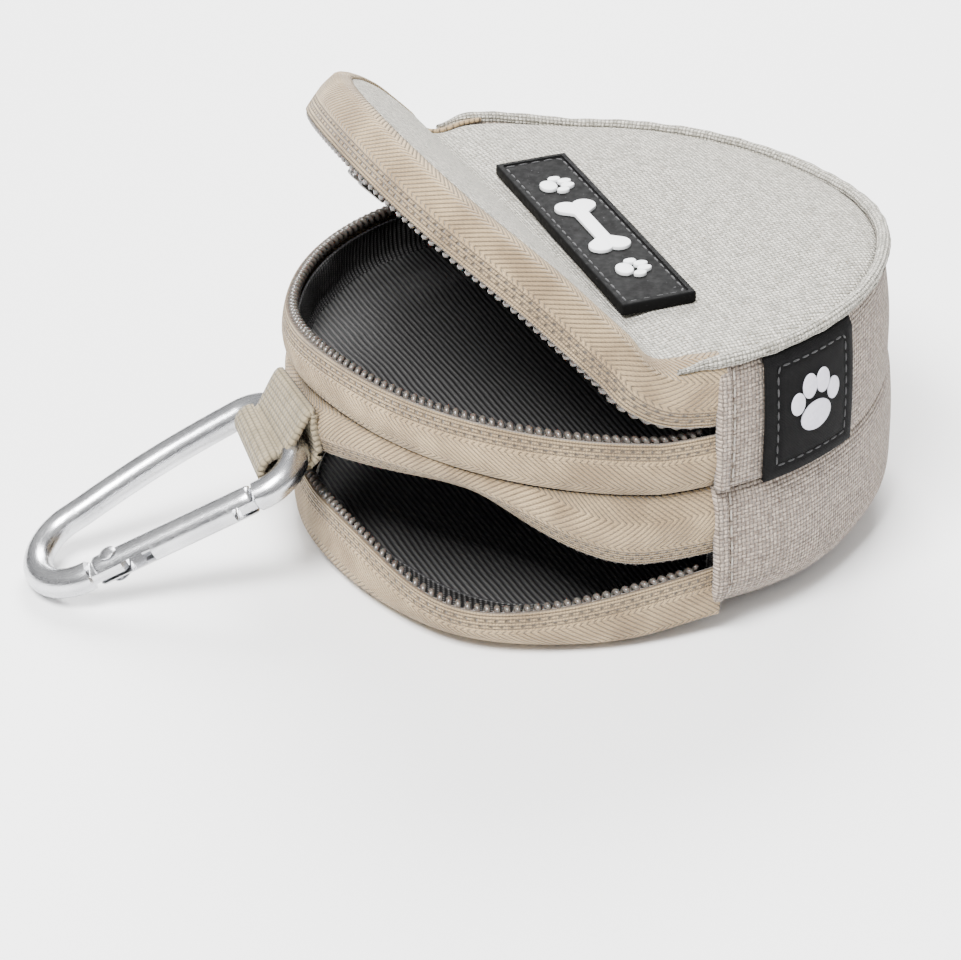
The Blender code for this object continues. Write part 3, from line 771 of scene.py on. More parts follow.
def upper_gusset_profile(angle, t):
    low, high = SEAM_Z + 0.1 * MM, TOP_Z - 0.7 * MM - top_sink(angle)
    sag = 0.45 * MM * ripple(angle, t * 20 * MM, 31) * np.sin(math.pi * t)
    radius = RADIUS - 0.2 * MM + 0.7 * MM * np.sin(math.pi * t) + 0.5 * MM * (1 - t) ** 3 + sag
    radius = radius + 2.2 * MM * bell(angle, 8, 45) * (1 - t) ** 2
    return radius - 0.9 * MM * np.clip((t - 0.9) / 0.1, 0, 1), low + (high - low) * t


def lower_gusset_profile(angle, t):
    end = bell(angle, -91, 26)
    low, high = 0.3 * MM + 1.8 * MM * end, SEAM_Z + 0.3 * MM
    sag = 0.7 * MM * ripple(angle, t * 25 * MM, 37) * np.sin(math.pi * t)
    bottom = (4.2 + 1.6 * end) * MM * (1.0 - np.clip(t / 0.34, 0, 1)) ** 2.0
    radius = RADIUS - 0.4 * MM + 0.9 * MM * np.sin(math.pi * t) - bottom + sag
    radius = radius + 3.6 * MM * bell(angle, 5, 44) * smooth_step(t / 0.4)
    return radius - 1.5 * MM * np.clip((t - 0.86) / 0.14, 0, 1) ** 2, low + (high - low) * t ** 1.1


def hem_band(profile, side, lift, width):
    """A folded edge that lies on a gusset's end."""
    start = math.radians(-89.8) if side == "near" else math.radians(90.8)
    stop = start + (width if side == "near" else -width) / RADIUS
    angles = np.linspace(start, stop, 22)

    def raised(angle, t):
        radius, height = profile(angle, t)
        across = np.abs(angle - start) * RADIUS / width
        plump = np.clip(1.0 - (2.0 * across - 1.0) ** 6, 0.0, 1.0)
        return radius + lift * plump - 0.35 * MM * (1.0 - plump), height

    return band(angles, raised, 28)


def build_gussets():
    """Both gussets, and at each end of each a folded hem with a row of stitches."""
    gussets = (("upper", upper_gusset_profile, 24), ("lower", lower_gusset_profile, 28))
    for level, profile, steps in gussets:
        points, uv = band(BACK, profile, steps)
        gusset = sheet(f"{level}_gusset_canvas", points, uv, "gusset", CANVAS)
        finish_piece(gusset, "pouch", "canvas", f"{level}_gusset")
    for level, profile, _steps in gussets:
        for side, row in (("near", math.radians(-86.3)), ("far", math.radians(87.3))):
            points, uv = hem_band(profile, side, HEM_LIFT, HEM_WIDTH)
            hem = sheet(f"{level}_{side}_folded_hem", points, uv, "gusset", CANVAS_THIN)
            finish_piece(hem, "pouch", "canvas", f"{level}_{side}_hem")
            line = []
            for t in np.linspace(0.05, 0.95, 60):
                radius, height = profile(np.array(row), np.array(t))
                line.append(Vector(around(radius + 0.12 * MM, np.array(row), height)))
            thread = stitches(f"{level}_{side}_hem_stitches", line, "thread", 1.9 * MM, 0.7 * MM, 0.16 * MM)
            finish_piece(thread, "pouch", "canvas")


def build_base():
    def base_height(x, y, r):
        lift = 1.7 * MM * bell(np.arctan2(y, x), -90, 26)
        return 0.15 * MM + (0.9 * MM + lift) * np.clip((r / RADIUS - 0.84) / 0.12, 0, 1) ** 2

    def tuck(points):
        """Draw the rim in at the near end, where the gusset's foot rolls under."""
        angle = np.arctan2(points[..., 1], points[..., 0])
        share = np.clip(np.hypot(points[..., 0], points[..., 1]) / RADIUS, 0, 1) ** 2
        points[..., :2] *= (1.0 - 0.07 * bell(angle, -90, 30) * share)[..., None]
        return points

    points, uv = disc(RADIUS - 4.4 * MM, base_height, 30, 180)
    points = tuck(points)
    points[..., 2] += PANEL
    base = disc_piece("base_canvas", points, uv, "gusset", CANVAS)
    finish_piece(base, "flap fold", "canvas", "base_back_panel", "base_flap_panel")
    points, uv = disc(RADIUS - 4.0 * MM, lambda x, y, r: base_height(x, y, r) + PANEL + 0.7 * MM
                      + 0.35 * MM * np.sin(x / (6 * MM)) * np.sin(y / (7 * MM) + 1.0), 30, 180)
    lining = disc_piece("base_lining", tuck(points), uv, "lining", LINING)
    finish_piece(lining, "flap fold", "lining", "base_back_lining", "base_flap_lining")


# ------------------------------------------------------------------ linings

def inner_wall(profile, inset, first, last, seed, depth):
    """A lining behind part of an outer wall; it ripples more than the outer cloth."""
    def inside(angle, t):
        radius, height = profile(angle, first + t * (last - first))
        wave = depth * ripple(angle, height, seed, 1.7) * np.sin(math.pi * np.clip(t, 0, 1)) ** 0.5
        return np.minimum(radius, RADIUS) - inset - depth + wave, height
    return inside


def build_linings():
    """Inner walls: outer profile, inset and ripple in millimetres, share of the outer wall, seed, body."""
    rows = (
        ("upper_wall", FRONT, upper_wall_profile, 1.5, 0.7, (0.0, 0.82), 41, "pouch", "upper_wall_lining"),
        ("upper_gusset", BACK, upper_gusset_profile, 1.6, 0.6, (0.0, 0.90), 43, "pouch",
         "upper_gusset_lining"),
        ("lower_gusset", BACK, lower_gusset_profile, 1.6, 0.6, (0.12, 0.94), 47, "pouch",
         "lower_gusset_lining"),
        ("roof", FRONT, roof_profile, 1.5, 0.5, (0.0, 0.80), 53, "pouch", "lower_roof_lining"),
        ("lid", FRONT, lid_profile, 1.4, 0.5, (0.30, 0.84), 59, "lid fold", None),
        ("flap", FRONT, flap_profile, 1.5, 0.6, (0.14, 0.84), 61, "flap fold", None),
    )
    for name, angles, profile, inset, depth, (first, last), seed, body, node in rows:
        inside = inner_wall(profile, inset * MM, first, last, seed, depth * MM)
        points, uv = band(angles, inside, 18)
        if name == "lid":
            points = fold_lid(points)
        piece = sheet(f"{name}_inner_lining", points, uv, "lining", LINING, Vector((0, 0, 0)))
        finish_piece(piece, body, "lining", *([node] if node else []))


def build_divider():
    def floor_height(x, y, r):
        wave = 0.45 * MM * np.sin(x / (7 * MM)) * np.sin(y / (8 * MM) + 0.6)
        wave = wave * np.clip(1.1 - r / RADIUS, 0, 1)
        return SEAM_Z + 0.9 * MM + front_rise(x, y) + wave

    points, uv = disc(RADIUS - 2.2 * MM, floor_height)
    floor = disc_piece("floor_lining", points, uv, "lining", LINING)
    finish_piece(floor, "pouch", "lining", "divider_floor_lining", "divider_panel")
    points, uv = disc(RADIUS - 2.6 * MM, lambda x, y, r: floor_height(x, y, r) - 1.9 * MM)
    ceiling = disc_piece("ceiling_lining", points, uv, "lining", LINING, up=False)
    finish_piece(ceiling, "pouch", "lining", "divider_ceiling_lining")


# ------------------------------------------------------------------ stitching and trim

def stitches(name, line, material, length, gap, radius):
    """Separate short thread loops laid along a line of points."""
    points = [Vector(p) for p in line]
    lengths = [0.0]
    for a, b in zip(points, points[1:]):
        lengths.append(lengths[-1] + (b - a).length)
    total = lengths[-1]
    count = max(1, int(total / (length + gap)))

    def at(distance):
        distance = min(max(distance, 0.0), total)
        for i in range(len(points) - 1):
            if lengths[i + 1] >= distance:
                share = (distance - lengths[i]) / max(1e-9, lengths[i + 1] - lengths[i])
                return points[i].lerp(points[i + 1], share)
        return points[-1]

    work = bmesh.new()
    for i in range(count):
        start = at((i + 0.5) * total / count - length / 2)
        end = at((i + 0.5) * total / count + length / 2)
        direction = end - start
        if direction.length < 1e-7:
            continue
        turn = direction.to_track_quat("Z", "Y").to_matrix().to_4x4()
        stretch = Matrix.Diagonal((1, 1, direction.length / 2 / radius, 1))
        place = Matrix.Translation((start + end) / 2) @ turn @ stretch
        bmesh.ops.create_uvsphere(work, u_segments=8, v_segments=6, radius=radius, matrix=place)
    piece = from_work(name, work, material)
    piece.data.shade_smooth()
    return piece


def rounded_box(name, size, bevel, material, segments=3):
    work = bmesh.new()
    bmesh.ops.create_cube(work, size=1.0)
    bmesh.ops.scale(work, vec=size, verts=work.verts)
    piece = from_work(name, work, material)
    modifier = piece.modifiers.new("edge", "BEVEL")
    modifier.width = bevel
    modifier.segments = segments
    apply_modifiers(piece)
    smooth(piece, 50)
    return piece


def cut(piece, *cutters):
    """Take the cutters' shapes out of a piece, and the cutters out of the scene."""
    for cutter in cutters:
        modifier = piece.modifiers.new("cut", "BOOLEAN")
        modifier.operation = "DIFFERENCE"
        modifier.object = cutter
    bpy.context.view_layer.update()
    apply_modifiers(piece)
    for cutter in cutters:
        bpy.data.objects.remove(cutter, do_unlink=True)


def join(pieces, name):
    work = bmesh.new()
    for piece in pieces:
        mesh = piece.data.copy()
        mesh.transform(piece.matrix_world)
        work.from_mesh(mesh)
        bpy.data.meshes.remove(mesh)
    kept = pieces[0]
    work.to_mesh(kept.data)
    work.free()
    for piece in pieces[1:]:
        bpy.data.objects.remove(piece, do_unlink=True)
    kept.matrix_world = Matrix.Identity(4)
    kept.name = name
    return kept


def flat_shape(name, outline, height, bevel, material):
    """A raised flat shape from an outline of points, with a soft upper edge."""
    work = bmesh.new()
    face = work.faces.new([work.verts.new((x, y, 0.0)) for x, y in outline])
    if face.normal.z < 0 or face.calc_area() == 0:
        face.normal_flip()
    grown = bmesh.ops.extrude_face_region(work, geom=[face])
    moved = [v for v in grown["geom"] if isinstance(v, bmesh.types.BMVert)]
    bmesh.ops.translate(work, vec=(0, 0, height), verts=moved)
    bmesh.ops.recalc_face_normals(work, faces=work.faces)
    piece = from_work(name, work, material)
    modifier = piece.modifiers.new("edge", "BEVEL")
    modifier.width = bevel
    modifier.segments = 2
    modifier.limit_method = "ANGLE"
    apply_modifiers(piece)
    smooth(piece, 60)
    return piece


def bone_outline(length, knob, waist):
    """A dog bone: two knobs at each end and a narrow shaft."""
    centres = ((length / 2, knob * 0.78, -60, 130), (-length / 2, knob * 0.78, 50, 240),
               (-length / 2, -knob * 0.78, 120, 310), (length / 2, -knob * 0.78, -130, 60))
    outline = []
    for index, (cx, cy, start, end) in enumerate(centres):
        arc = []
        for i in range(13):
            turn = math.radians(start + (end - start) * i / 12)
            arc.append((cx + knob * math.cos(turn), cy + knob * math.sin(turn)))
        outline += arc
        if index in (0, 2):
            sign = 1 if index == 0 else -1
            shaft = length / 2 - knob * 1.4
            outline += [(sign * shaft, sign * waist), (-sign * shaft, sign * waist)]
    return outline


def circle_outline(x, y, rx, ry, count=24):
    return [(x + rx * math.cos(2 * math.pi * i / count), y + ry * math.sin(2 * math.pi * i / count))
            for i in range(count)]


def paw_shapes(name, scale, height, material, centre=(0.0, 0.0)):
    cx, cy = centre
    toes = ((-1.75, 0.5, 0.62, 0.86), (-0.65, 1.55, 0.66, 0.95),
            (0.65, 1.55, 0.66, 0.95), (1.75, 0.5, 0.62, 0.86))
    pad = circle_outline(cx, cy - 0.95 * scale, 1.45 * scale, 1.15 * scale)
    shapes = [flat_shape(f"{name}_pad", pad, height, 0.12 * MM, material)]
    for index, (x, y, rx, ry) in enumerate(toes):
        outline = circle_outline(cx + x * scale, cy + y * scale, rx * scale, ry * scale)
        shapes.append(flat_shape(f"{name}_toe_{index}", outline, height, 0.12 * MM, material))
    return shapes


def build_patch():
    """Rubber badge: a dished face inside a rim, black stitches round the dish, plain bone and paws."""
    low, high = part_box("rubber_patch")
    turn = math.radians(-2.0)
    width, length = 12.8 * MM, 56.0 * MM
    margin, paw, relief_height = 1.35 * MM, 1.25 * MM, 0.7 * MM
    place = Matrix.Translation((low + high) / 2) @ Matrix.Rotation(turn, 4, "Z")
    thickness = high.z - low.z
    body = rounded_box("rubber_badge", Vector((width, length, thickness)), 0.35 * MM, "rubber", 4)
    dish_size = Vector((width - 1.9 * MM, length - 1.9 * MM, 1.2 * MM))
    dish = rounded_box("badge_dish", dish_size, 0.3 * MM, "rubber", 3)
    dish.matrix_world = Matrix.Translation((0, 0, thickness / 2 + 0.25 * MM))
    cut(body, dish)
    smooth(body, 35)
    body.matrix_world = place
    finish_piece(body, "pouch", "rubber", "rubber_patch")

    face = thickness / 2 - 0.35 * MM
    half_w, half_l = width / 2 - margin, length / 2 - margin
    around_face = ((-1, -1), (1, -1), (1, 1), (-1, 1), (-1, -1))
    corners = [Vector((x * half_w, y * half_l, face)) for x, y in around_face]
    thread = stitches("badge_stitches", corners, "dark_thread", 1.7 * MM, 0.6 * MM, 0.17 * MM)
    thread.matrix_world = place
    finish_piece(thread, "pouch", "rubber")

    bone = bone_outline(15 * MM, 2.0 * MM, 1.25 * MM)
    shapes = [flat_shape("badge_bone", bone, relief_height, 0.2 * MM, "rubber_white")]
    for name, x in (("badge_paw_a", -16.5 * MM), ("badge_paw_b", 16.5 * MM)):
        shapes += paw_shapes(name, paw, relief_height, "rubber_white", (x, 0))
    relief = join(shapes, "badge_relief")
    seat = Matrix.Translation((0, 0, face - 0.15 * MM))
    relief.matrix_world = place @ seat @ Matrix.Rotation(-math.pi / 2, 4, "Z")
    finish_piece(relief, "pouch", "rubber")


def build_label():
    """Woven label sewn on the upper gusset, with a black border row and a plain paw."""
    arc = (math.radians(-80.4), math.radians(-57.4))
    low, high = 27.0 * MM, TOP_Z - 1.2 * MM
    full_low, full_high = SEAM_Z + 0.1 * MM, TOP_Z - 0.7 * MM

    def on_gusset(angle, height, lift):
        t = (height - full_low) / (full_high - full_low)
        radius, _height = upper_gusset_profile(angle, np.clip(t, 0.0, 1.0))
        return around(radius + lift, angle, height)

    angle, height = np.meshgrid(np.linspace(*arc, 46), np.linspace(low, high, 46), indexing="ij")
    edge_u = np.minimum(angle - arc[0], arc[1] - angle) * RADIUS
    edge_v = np.minimum(height - low, high - height)
    curl = 0.5 * MM * np.clip(1 - np.minimum(edge_u, edge_v) / (1.4 * MM), 0, 1) ** 2
    dip = 0.25 * MM * np.exp(-((np.minimum(edge_u, edge_v) - 2.3 * MM) / (0.5 * MM)) ** 2)
    points = on_gusset(angle, height, 1.35 * MM - curl * 0.4 - dip)
    uv = np.stack([angle * RADIUS, height], axis=-1)
    finish_piece(sheet("sewn_label", points, uv, "label", CANVAS_THIN), "pouch", "label", "woven_label")

    inset = 2.3 * MM
    turn = inset / RADIUS
    left, right, bottom, top = arc[0] + turn, arc[1] - turn, low + inset, high - inset
    rim = [(left, bottom), (right, bottom), (right, top), (left, top), (left, bottom)]
    line = []
    for (a0, h0), (a1, h1) in zip(rim, rim[1:]):
        for i in range(12):
            share = i / 12
            spot = (np.array(a0 + (a1 - a0) * share), np.array(h0 + (h1 - h0) * share))
            line.append(on_gusset(*spot, 1.25 * MM))
    line.append(line[0])
    thread = stitches("label_stitches", line, "dark_thread", 1.5 * MM, 0.5 * MM, 0.15 * MM)
    finish_piece(thread, "pouch", "label")

    motif = join(paw_shapes("label_paw", 2.25 * MM, 0.34 * MM, "white_thread"), "label_motif")
    work = bmesh.new()
    work.from_mesh(motif.data)
    bmesh.ops.subdivide_edges(work, edges=[e for e in work.edges if e.calc_length() > 1.2 * MM], cuts=2)
    middle_angle, middle_height = (arc[0] + arc[1]) / 2, (low + high) / 2
    for vertex in work.verts:
        x, y, z = vertex.co
        spot = on_gusset(np.array(middle_angle + x / RADIUS), np.array(middle_height + y), 1.28 * MM + z)
        vertex.co = Vector(spot)
    work.to_mesh(motif.data)
    work.free()
    finish_piece(motif, "pouch", "label")


# ------------------------------------------------------------------ sliders

def slider_pieces(level, web_z, tilt):
    """A zip slider with two plates, wings and a bridge, and a tapered puller with a hole."""
    body_node, pull_node = f"{level}_slider", f"{level}_pull_tab"
    body, pull, joint = f"{level}_zip_slider", f"{level}_pull", f"{level}_pull_swing"
    angle = math.radians(SLIDER_ANGLE)
    bridge_y = 1.0 * MM
    out = Vector((math.cos(angle), math.sin(angle), 0))
    along = Vector((-math.sin(angle), math.cos(angle), 0))
    up = Vector((0, 0, 1))
    local = Matrix((along, up, out)).transposed().to_4x4()
    local.translation = out * RADIUS + up * web_z
    swing = Matrix.Identity(4)
    if tilt:
        to_fold = Matrix.Translation(LID_PIVOT)
        swing = to_fold @ Matrix.Rotation(LID_OPEN, 4, "Y") @ to_fold.inverted()
    place = swing @ local
    plates = []
    for side, depth in (("outer", 1.5 * MM), ("inner", -2.7 * MM)):
        plate = rounded_box(f"{body_node}_{side}_plate", Vector((7.4, 7.4, 1.1)) * MM, 0.5 * MM, "zinc", 4)
        plate.matrix_world = Matrix.Translation((0, 0, depth))
        plates.append(plate)
        for wing in (-1, 1):
            flange = rounded_box(f"{body_node}_{side}_wing_{wing + 1}", Vector((6.4, 0.9, 1.3)) * MM,
                                 0.35 * MM, "zinc")
            inward = depth - math.copysign(0.6 * MM, depth)
            flange.matrix_world = Matrix.Translation((0, wing * 3.3 * MM, inward))
            plates.append(flange)
    post = rounded_box(f"{body_node}_post", Vector((2.2, 1.0, 4.2)) * MM, 0.3 * MM, "zinc")
    post.matrix_world = Matrix.Translation((0, 0, -0.6 * MM))
    bridge = rounded_box(f"{body_node}_bridge", Vector((5.0, 1.6, 0.9)) * MM, 0.4 * MM, "zinc", 3)
    bridge.matrix_world = Matrix.Translation((0, bridge_y, 2.9 * MM))
    for x in (-2.1, 2.1):
        leg = rounded_box(f"{body_node}_leg_{int(x)}", Vector((0.9, 1.6, 1.4)) * MM, 0.25 * MM, "zinc")
        leg.matrix_world = Matrix.Translation((x * MM, bridge_y, 2.3 * MM))
        plates.append(leg)
    slider = join(plates + [post, bridge], f"{body_node}_casting")
    slider.matrix_world = place
    smooth(slider, 40)
    finish_piece(slider, body, "slider", body_node)

    outline = []
    half, length = PULL_HALF, PULL_LENGTH - 0.4 * MM
    for i in range(17):
        turn = math.pi + math.pi * i / 16
        outline.append((half * math.cos(turn), -length + half + half * math.sin(turn)))
    neck, root = (half * 0.62, -1.0 * MM), (half * 0.5, 0.4 * MM)
    outline += [neck, root, (-root[0], root[1]), (-neck[0], neck[1])]
    tab = flat_shape(f"{pull_node}_plate", outline, PULL_THICKNESS, 0.2 * MM, "zinc")
    hole = flat_shape("pull_hole", circle_outline(0, -length + 2.6 * MM, PULL_HOLE, PULL_HOLE), 3 * MM,
                      0.05 * MM, "zinc")
    hole.matrix_world = Matrix.Translation((0, 0, -1 * MM))
    cut(tab, hole)
    frame_at_pivot = swing @ Matrix((-up, along, out)).transposed().to_4x4()
    frame_at_pivot.translation = joint_place(joint)
    tab.matrix_world = frame_at_pivot
    smooth(tab, 40)
    finish_piece(tab, pull, "slider", pull_node)


# ------------------------------------------------------------------ carabiner and loop

HOOK_LENGTH = 47.5 * MM
NARROW_RADIUS = 8.6 * MM
WIDE_HALF = 11.8 * MM
CORNER_RADIUS = 7.0 * MM
SPINE_BOW = 1.0 * MM
ROD = 2.5 * MM
RIVET_AT = 13.0 * MM
GATE_END = 38.5 * MM
GATE_CHEEK = 3.2 * MM
SLOT_HALF = 1.25 * MM
LOOP_HALF = 7.8 * MM
LOOP_Y = 1.5 * MM


def hook_place():
    side = Vector(JOINTS["carabiner_swing"]["axis"]).normalized()
    normal = Vector(JOINTS["gate_hinge"]["axis"]).normalized()
    along = side.cross(normal)
    place = Matrix((along, side, normal)).transposed().to_4x4()
    place.translation = joint_place("carabiner_swing") - along * HOOK_LENGTH
    return place


def gate_line(u):
    share = (u - NARROW_RADIUS) / (HOOK_LENGTH - CORNER_RADIUS - NARROW_RADIUS)
    return -(NARROW_RADIUS + (WIDE_HALF - NARROW_RADIUS) * share)


def hook_path():
    """Centre line of the bent rod, from the nose round to the hinge tongue."""
    corner_u, corner_v = HOOK_LENGTH - CORNER_RADIUS, WIDE_HALF - CORNER_RADIUS
    path = []

    def add_arc(centre, radius, start, end, count):
        for i in range(count + 1):
            turn = math.radians(start + (end - start) * i / count)
            path.append((centre[0] + radius * math.cos(turn), centre[1] + radius * math.sin(turn)))

    add_arc((corner_u, -corner_v), CORNER_RADIUS, -88, 0, 18)
    add_arc((corner_u, corner_v), CORNER_RADIUS, 0, 86, 18)
    for i in range(1, 24):
        share = i / 24
        spine = WIDE_HALF + (NARROW_RADIUS - WIDE_HALF) * share + SPINE_BOW * math.sin(math.pi * share)
        path.append((corner_u + (NARROW_RADIUS - corner_u) * share, spine))
    add_arc((NARROW_RADIUS, 0), NARROW_RADIUS, 92, 264, 36)
    return path


def rod_ring(centre, tangent, squash, width, count):
    side = Vector((-tangent.y, tangent.x, 0)).normalized()
    ring = []
    for i in range(count):
        turn = 2 * math.pi * i / count
        lift = ROD * math.sin(turn)
        lift = max(-squash, min(squash, lift))
        ring.append(centre + side * width * math.cos(turn) + Vector((0, 0, lift)))
    return ring


def tube(name, rings, lengths, material):
    count = len(rings[0])
    vertices = [v for ring in rings for v in ring]
    faces = []
    for i in range(len(rings) - 1):
        for j in range(count):
            k = (j + 1) % count
            faces.append((i * count + j, i * count + k, (i + 1) * count + k, (i + 1) * count + j))
    faces.append(tuple(reversed(range(count))))
    faces.append(tuple((len(rings) - 1) * count + j for j in range(count)))
    uv = [(lengths[i] * 1000, 15.7 * j / count) for i in range(len(rings)) for j in range(count)]
    piece = new_piece(name, vertices, faces, material, np.array(uv))
    settle_normals(piece)
    piece.data.set_sharp_from_angle(angle=math.radians(38))
    return piece


def build_hook():
    sides = 28
    path = [Vector((u, v, 0)) for u, v in hook_path()]
    nose_root = GATE_END + 0.5 * MM
    start = [(nose_root - 3.0 * MM, 0.9 * MM, 0.80), (nose_root - 0.2 * MM, 0.9 * MM, 0.80),
             (nose_root, 0.95 * MM, 0.92), (nose_root + 0.25 * MM, ROD, 1.0)]
    root = RIVET_AT - 4.5 * MM
    end = [(root, ROD, 1.0), (root + 0.3 * MM, 1.0 * MM, 0.92), (root + 0.5 * MM, 0.9 * MM, 0.82),
           (RIVET_AT + 1.4 * MM, 0.9 * MM, 0.82), (RIVET_AT + 2.2 * MM, 0.9 * MM, 0.45)]
    points = [Vector((u, gate_line(u), 0)) for u, _h, _w in start] + path
    points += [Vector((u, gate_line(u), 0)) for u, _h, _w in end]
    shape = [(h, w) for _u, h, w in start] + [(ROD, 1.0)] * len(path) + [(h, w) for _u, h, w in end]
    rings, lengths, travelled = [], [], 0.0
    for i, point in enumerate(points):
        before, after = points[max(0, i - 1)], points[min(len(points) - 1, i + 1)]
        if i:
            travelled += (point - points[i - 1]).length
        squash, width = shape[i]
        rings.append(rod_ring(point, (after - before).normalized(), squash, ROD * width, sides))
        lengths.append(travelled)
    place = hook_place()
    hook = tube("carabiner_rod", rings, lengths, "aluminium")
    hook.matrix_world = place
    finish_piece(hook, "carabiner", "aluminium", "carabiner_body")
    upper_half = [(0.02, 3.15), (0.9, 3.05), (1.45, 2.75), (1.5, 2.55), (1.0, 2.5)]
    rivet_profile = upper_half + [(r, -z) for r, z in reversed(upper_half)]
    rings = [[Vector((x, y, z * MM)) for x, y in circle_outline(0, 0, r * MM, r * MM)]
             for r, z in rivet_profile]
    rivet = tube("rivet", rings, [0.0] * len(rings), "aluminium")
    rivet.matrix_world = place @ Matrix.Translation((RIVET_AT, gate_line(RIVET_AT), 0))
    finish_piece(rivet, "carabiner", "steel", "gate_rivet")
    return place


def build_gate(place):
    """Tube gate: a fork round the hinge tongue and a latch slot that takes the nose."""
    direction = Vector((GATE_END - RIVET_AT, gate_line(GATE_END) - gate_line(RIVET_AT), 0))
    length = direction.length
    hinge = place @ Matrix.Translation((RIVET_AT, gate_line(RIVET_AT), 0))
    hinge = hinge @ Matrix.Rotation(math.atan2(direction.y, direction.x), 4, "Z")
    barrel, barrel_length = -GATE_CHEEK + 0.7 * MM, length + GATE_CHEEK - 1.2 * MM
    profile = [(-GATE_CHEEK, 2.15), (-GATE_CHEEK + 0.35 * MM, 2.45), (barrel, 2.5)]
    profile += [(barrel + barrel_length * i / 20, 2.5) for i in range(1, 21)]
    profile += [(length - 0.2 * MM, 2.42), (length, 2.25)]
    rings = [[Vector((x, y, z)) for y, z in circle_outline(0, 0, r * MM, r * MM, 32)] for x, r in profile]
    gate = tube("gate_barrel", rings, [x for x, _r in profile], "aluminium")
    slot_size = Vector((2 * (GATE_CHEEK + 4.2 * MM), 8 * MM, 2 * SLOT_HALF))
    hinge_slot = rounded_box("hinge_slot", slot_size, 0.2 * MM, "aluminium")
    hinge_slot.matrix_world = Matrix.Translation((-0.4 * MM, 0, 0))
    latch = rounded_box("latch_slot", Vector((7.4 * MM, 8 * MM, 2 * SLOT_HALF)), 0.3 * MM, "aluminium")
    latch.matrix_world = Matrix.Translation((length, 0, 0))
    cut(gate, hinge_slot, latch)
    smooth(gate, 35)
    gate.matrix_world = hinge
    finish_piece(gate, "gate", "aluminium", "gate_tube")


def spline(a, b, c, d, s):
    """A smooth curve from b to c, led by the values before and after them."""
    square, cube = (2 * a - 5 * b + 4 * c - d) * s * s, (3 * b - a - 3 * c + d) * s ** 3
    return 0.5 * (2 * b + (c - a) * s + square + cube)


def build_loop():
    """One piece of webbing: out from the seam over the rod, round the fold and back under it."""
    wide = joint_place("carabiner_swing")
    seam = joint_place("loop_seam")
    path = [(seam.x + 0.6 * MM, seam.z + 0.3 * MM), (seam.x - 1.0 * MM, seam.z - 0.2 * MM)]
    room = ROD + 0.75 * MM
    fold_at = (wide.x - 4.0 * MM, wide.z - 1.7 * MM)
    for i in range(13):
        turn = math.radians(68 + 175 * i / 12)
        path.append((fold_at[0] + room * math.cos(turn), fold_at[1] + room * math.sin(turn)))
    heel_x, heel_z = wide.x + 0.4 * MM, wide.z + 0.1 * MM
    for i in range(9):
        turn = math.radians(262 + 78 * i / 8)
        path.append((heel_x + room * math.cos(turn), heel_z + room * math.sin(turn)))
    path += [(seam.x + 0.9 * MM, seam.z - 3.0 * MM), (seam.x + 1.0 * MM, seam.z - 0.9 * MM)]
    steps = []
    count = len(path)
    for i in range(count - 1):
        p0, p1, p2, p3 = (path[max(0, i - 1)], path[i], path[i + 1], path[min(count - 1, i + 2)])
        for k in range(4):
            s = k / 4
            steps.append(tuple(spline(*values, s) for values in zip(p0, p1, p2, p3)))
    steps.append(path[-1])
    line = np.array(steps)
    lengths = np.concatenate([[0], np.cumsum(np.linalg.norm(np.diff(line, axis=0), axis=1))])
    across = np.linspace(-LOOP_HALF, LOOP_HALF, 17)
    points = np.zeros((len(line), len(across), 3))
    away = np.clip((seam.x - line[:, 0]) / (9 * MM), 0, 1)[:, None]
    points[..., 0] = line[:, 0][:, None] + 0.09 * across[None, :] * away
    points[..., 1] = LOOP_Y + across[None, :]
    points[..., 2] = line[:, 1][:, None] + (0.10 * across[None, :]) * away
    uv = np.stack(np.broadcast_arrays(lengths[:, None], across[None, :]), axis=-1)
    centre = Vector((fold_at[0] + 2 * MM, 0, wide.z))
    finish_piece(sheet("webbing_strap", points, uv, "webbing", WEBBING, centre), "loop", "webbing",
                 "webbing_loop")


def finish_hidden_nodes():
    """The spring and plunger inside the gate keep their modelled shape."""
    for name in ("gate_spring", "gate_plunger"):
        node = frame["nodes"][name]
        node.data.materials.clear()
        node.data.materials.append(MATERIALS["steel"])


# ------------------------------------------------------------------ studio

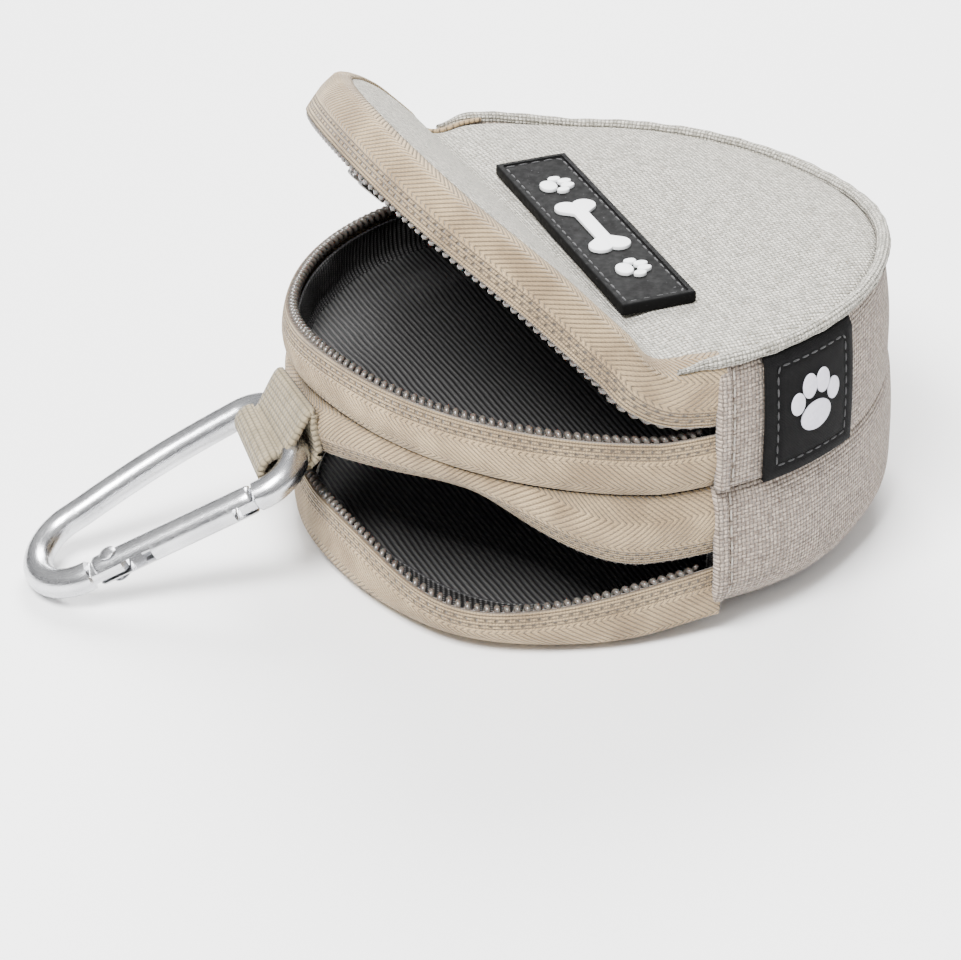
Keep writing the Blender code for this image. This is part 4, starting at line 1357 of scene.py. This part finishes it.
def build_studio():
    floor_material = bpy.data.materials.new("floor")
    floor_material.use_nodes = True
    shader = floor_material.node_tree.nodes["Principled BSDF"]
    shader.inputs["Base Color"].default_value = rgb(1.0, 1.0, 1.0)
    shader.inputs["Roughness"].default_value = 0.9
    mesh = bpy.data.meshes.new("floor")
    size = 3.0
    corners = [(-size, -size, 0), (size, -size, 0), (size, size, 0), (-size, size, 0)]
    mesh.from_pydata(corners, [], [(0, 1, 2, 3)])
    mesh.materials.append(floor_material)
    place_mesh("floor", mesh)

    world = bpy.data.worlds.new("studio")
    world.use_nodes = True
    tree = world.node_tree
    background = tree.nodes["Background"]
    place = tree.nodes.new("ShaderNodeTexCoord")
    axes = tree.nodes.new("ShaderNodeSeparateXYZ")
    ramp = tree.nodes.new("ShaderNodeValToRGB")
    tree.links.new(place.outputs["Generated"], axes.inputs[0])
    tree.links.new(axes.outputs[2], ramp.inputs[0])
    tree.links.new(ramp.outputs[0], background.inputs[0])
    ramp.color_ramp.elements[0].color = rgb(0.10, 0.10, 0.105)
    ramp.color_ramp.elements[1].color = rgb(1.0, 1.0, 1.0)
    ramp.color_ramp.elements[1].position = 0.55
    background.inputs[1].default_value = 0.72
    bpy.context.scene.world = world
    lights = (("key", (-0.35, -0.25, 0.75), 0.35, 21.0), ("back", (0.30, 0.60, 0.65), 0.5, 20.0),
              ("side", (0.75, -0.35, 0.35), 0.4, 1.5))
    for name, place, size, power in lights:
        data = bpy.data.lights.new(name, "AREA")
        data.size = size
        data.energy = power
        lamp = bpy.data.objects.new(name, data)
        lamp.location = place
        lamp.rotation_euler = (Vector((0, 0, 0.03)) - Vector(place)).to_track_quat("-Z", "Y").to_euler()
        bpy.context.scene.collection.objects.link(lamp)


def build_camera():
    """Camera turned to the left and looking down; the pouch is right of and above the middle."""
    azimuth, elevation = math.radians(-24.2), math.radians(28.8)
    distance = 0.560
    aim_right, aim_up = 0.030975, 0.035682
    right = Vector((math.cos(azimuth), math.sin(azimuth), 0))
    back = Vector((math.sin(azimuth) * math.cos(elevation), -math.cos(azimuth) * math.cos(elevation),
                   math.sin(elevation)))
    up = back.cross(right)
    aim = (-back - right * aim_right - up * aim_up).normalized()
    data = bpy.data.cameras.new("camera")
    data.sensor_width = 36.0
    data.lens = 123.36
    data.clip_start = 0.01
    camera = bpy.data.objects.new("camera", data)
    level = right.cross(aim).normalized()
    side = aim.cross(level).normalized()
    turn = Matrix((side, level, -aim)).transposed()
    camera.matrix_world = Matrix.Translation(Vector((0, 0, TOP_Z / 2)) + back * distance) @ turn.to_4x4()
    bpy.context.scene.collection.objects.link(camera)
    bpy.context.scene.camera = camera


build_camera()
build_studio()
build_rims()
build_top()
build_welt()
build_gussets()
build_base()
build_linings()
build_divider()
build_patch()
build_label()
slider_pieces("upper", UPPER_SLIDER_Z, True)
slider_pieces("lower", LOWER_SLIDER_Z, False)
build_gate(build_hook())
build_loop()
finish_hidden_nodes()
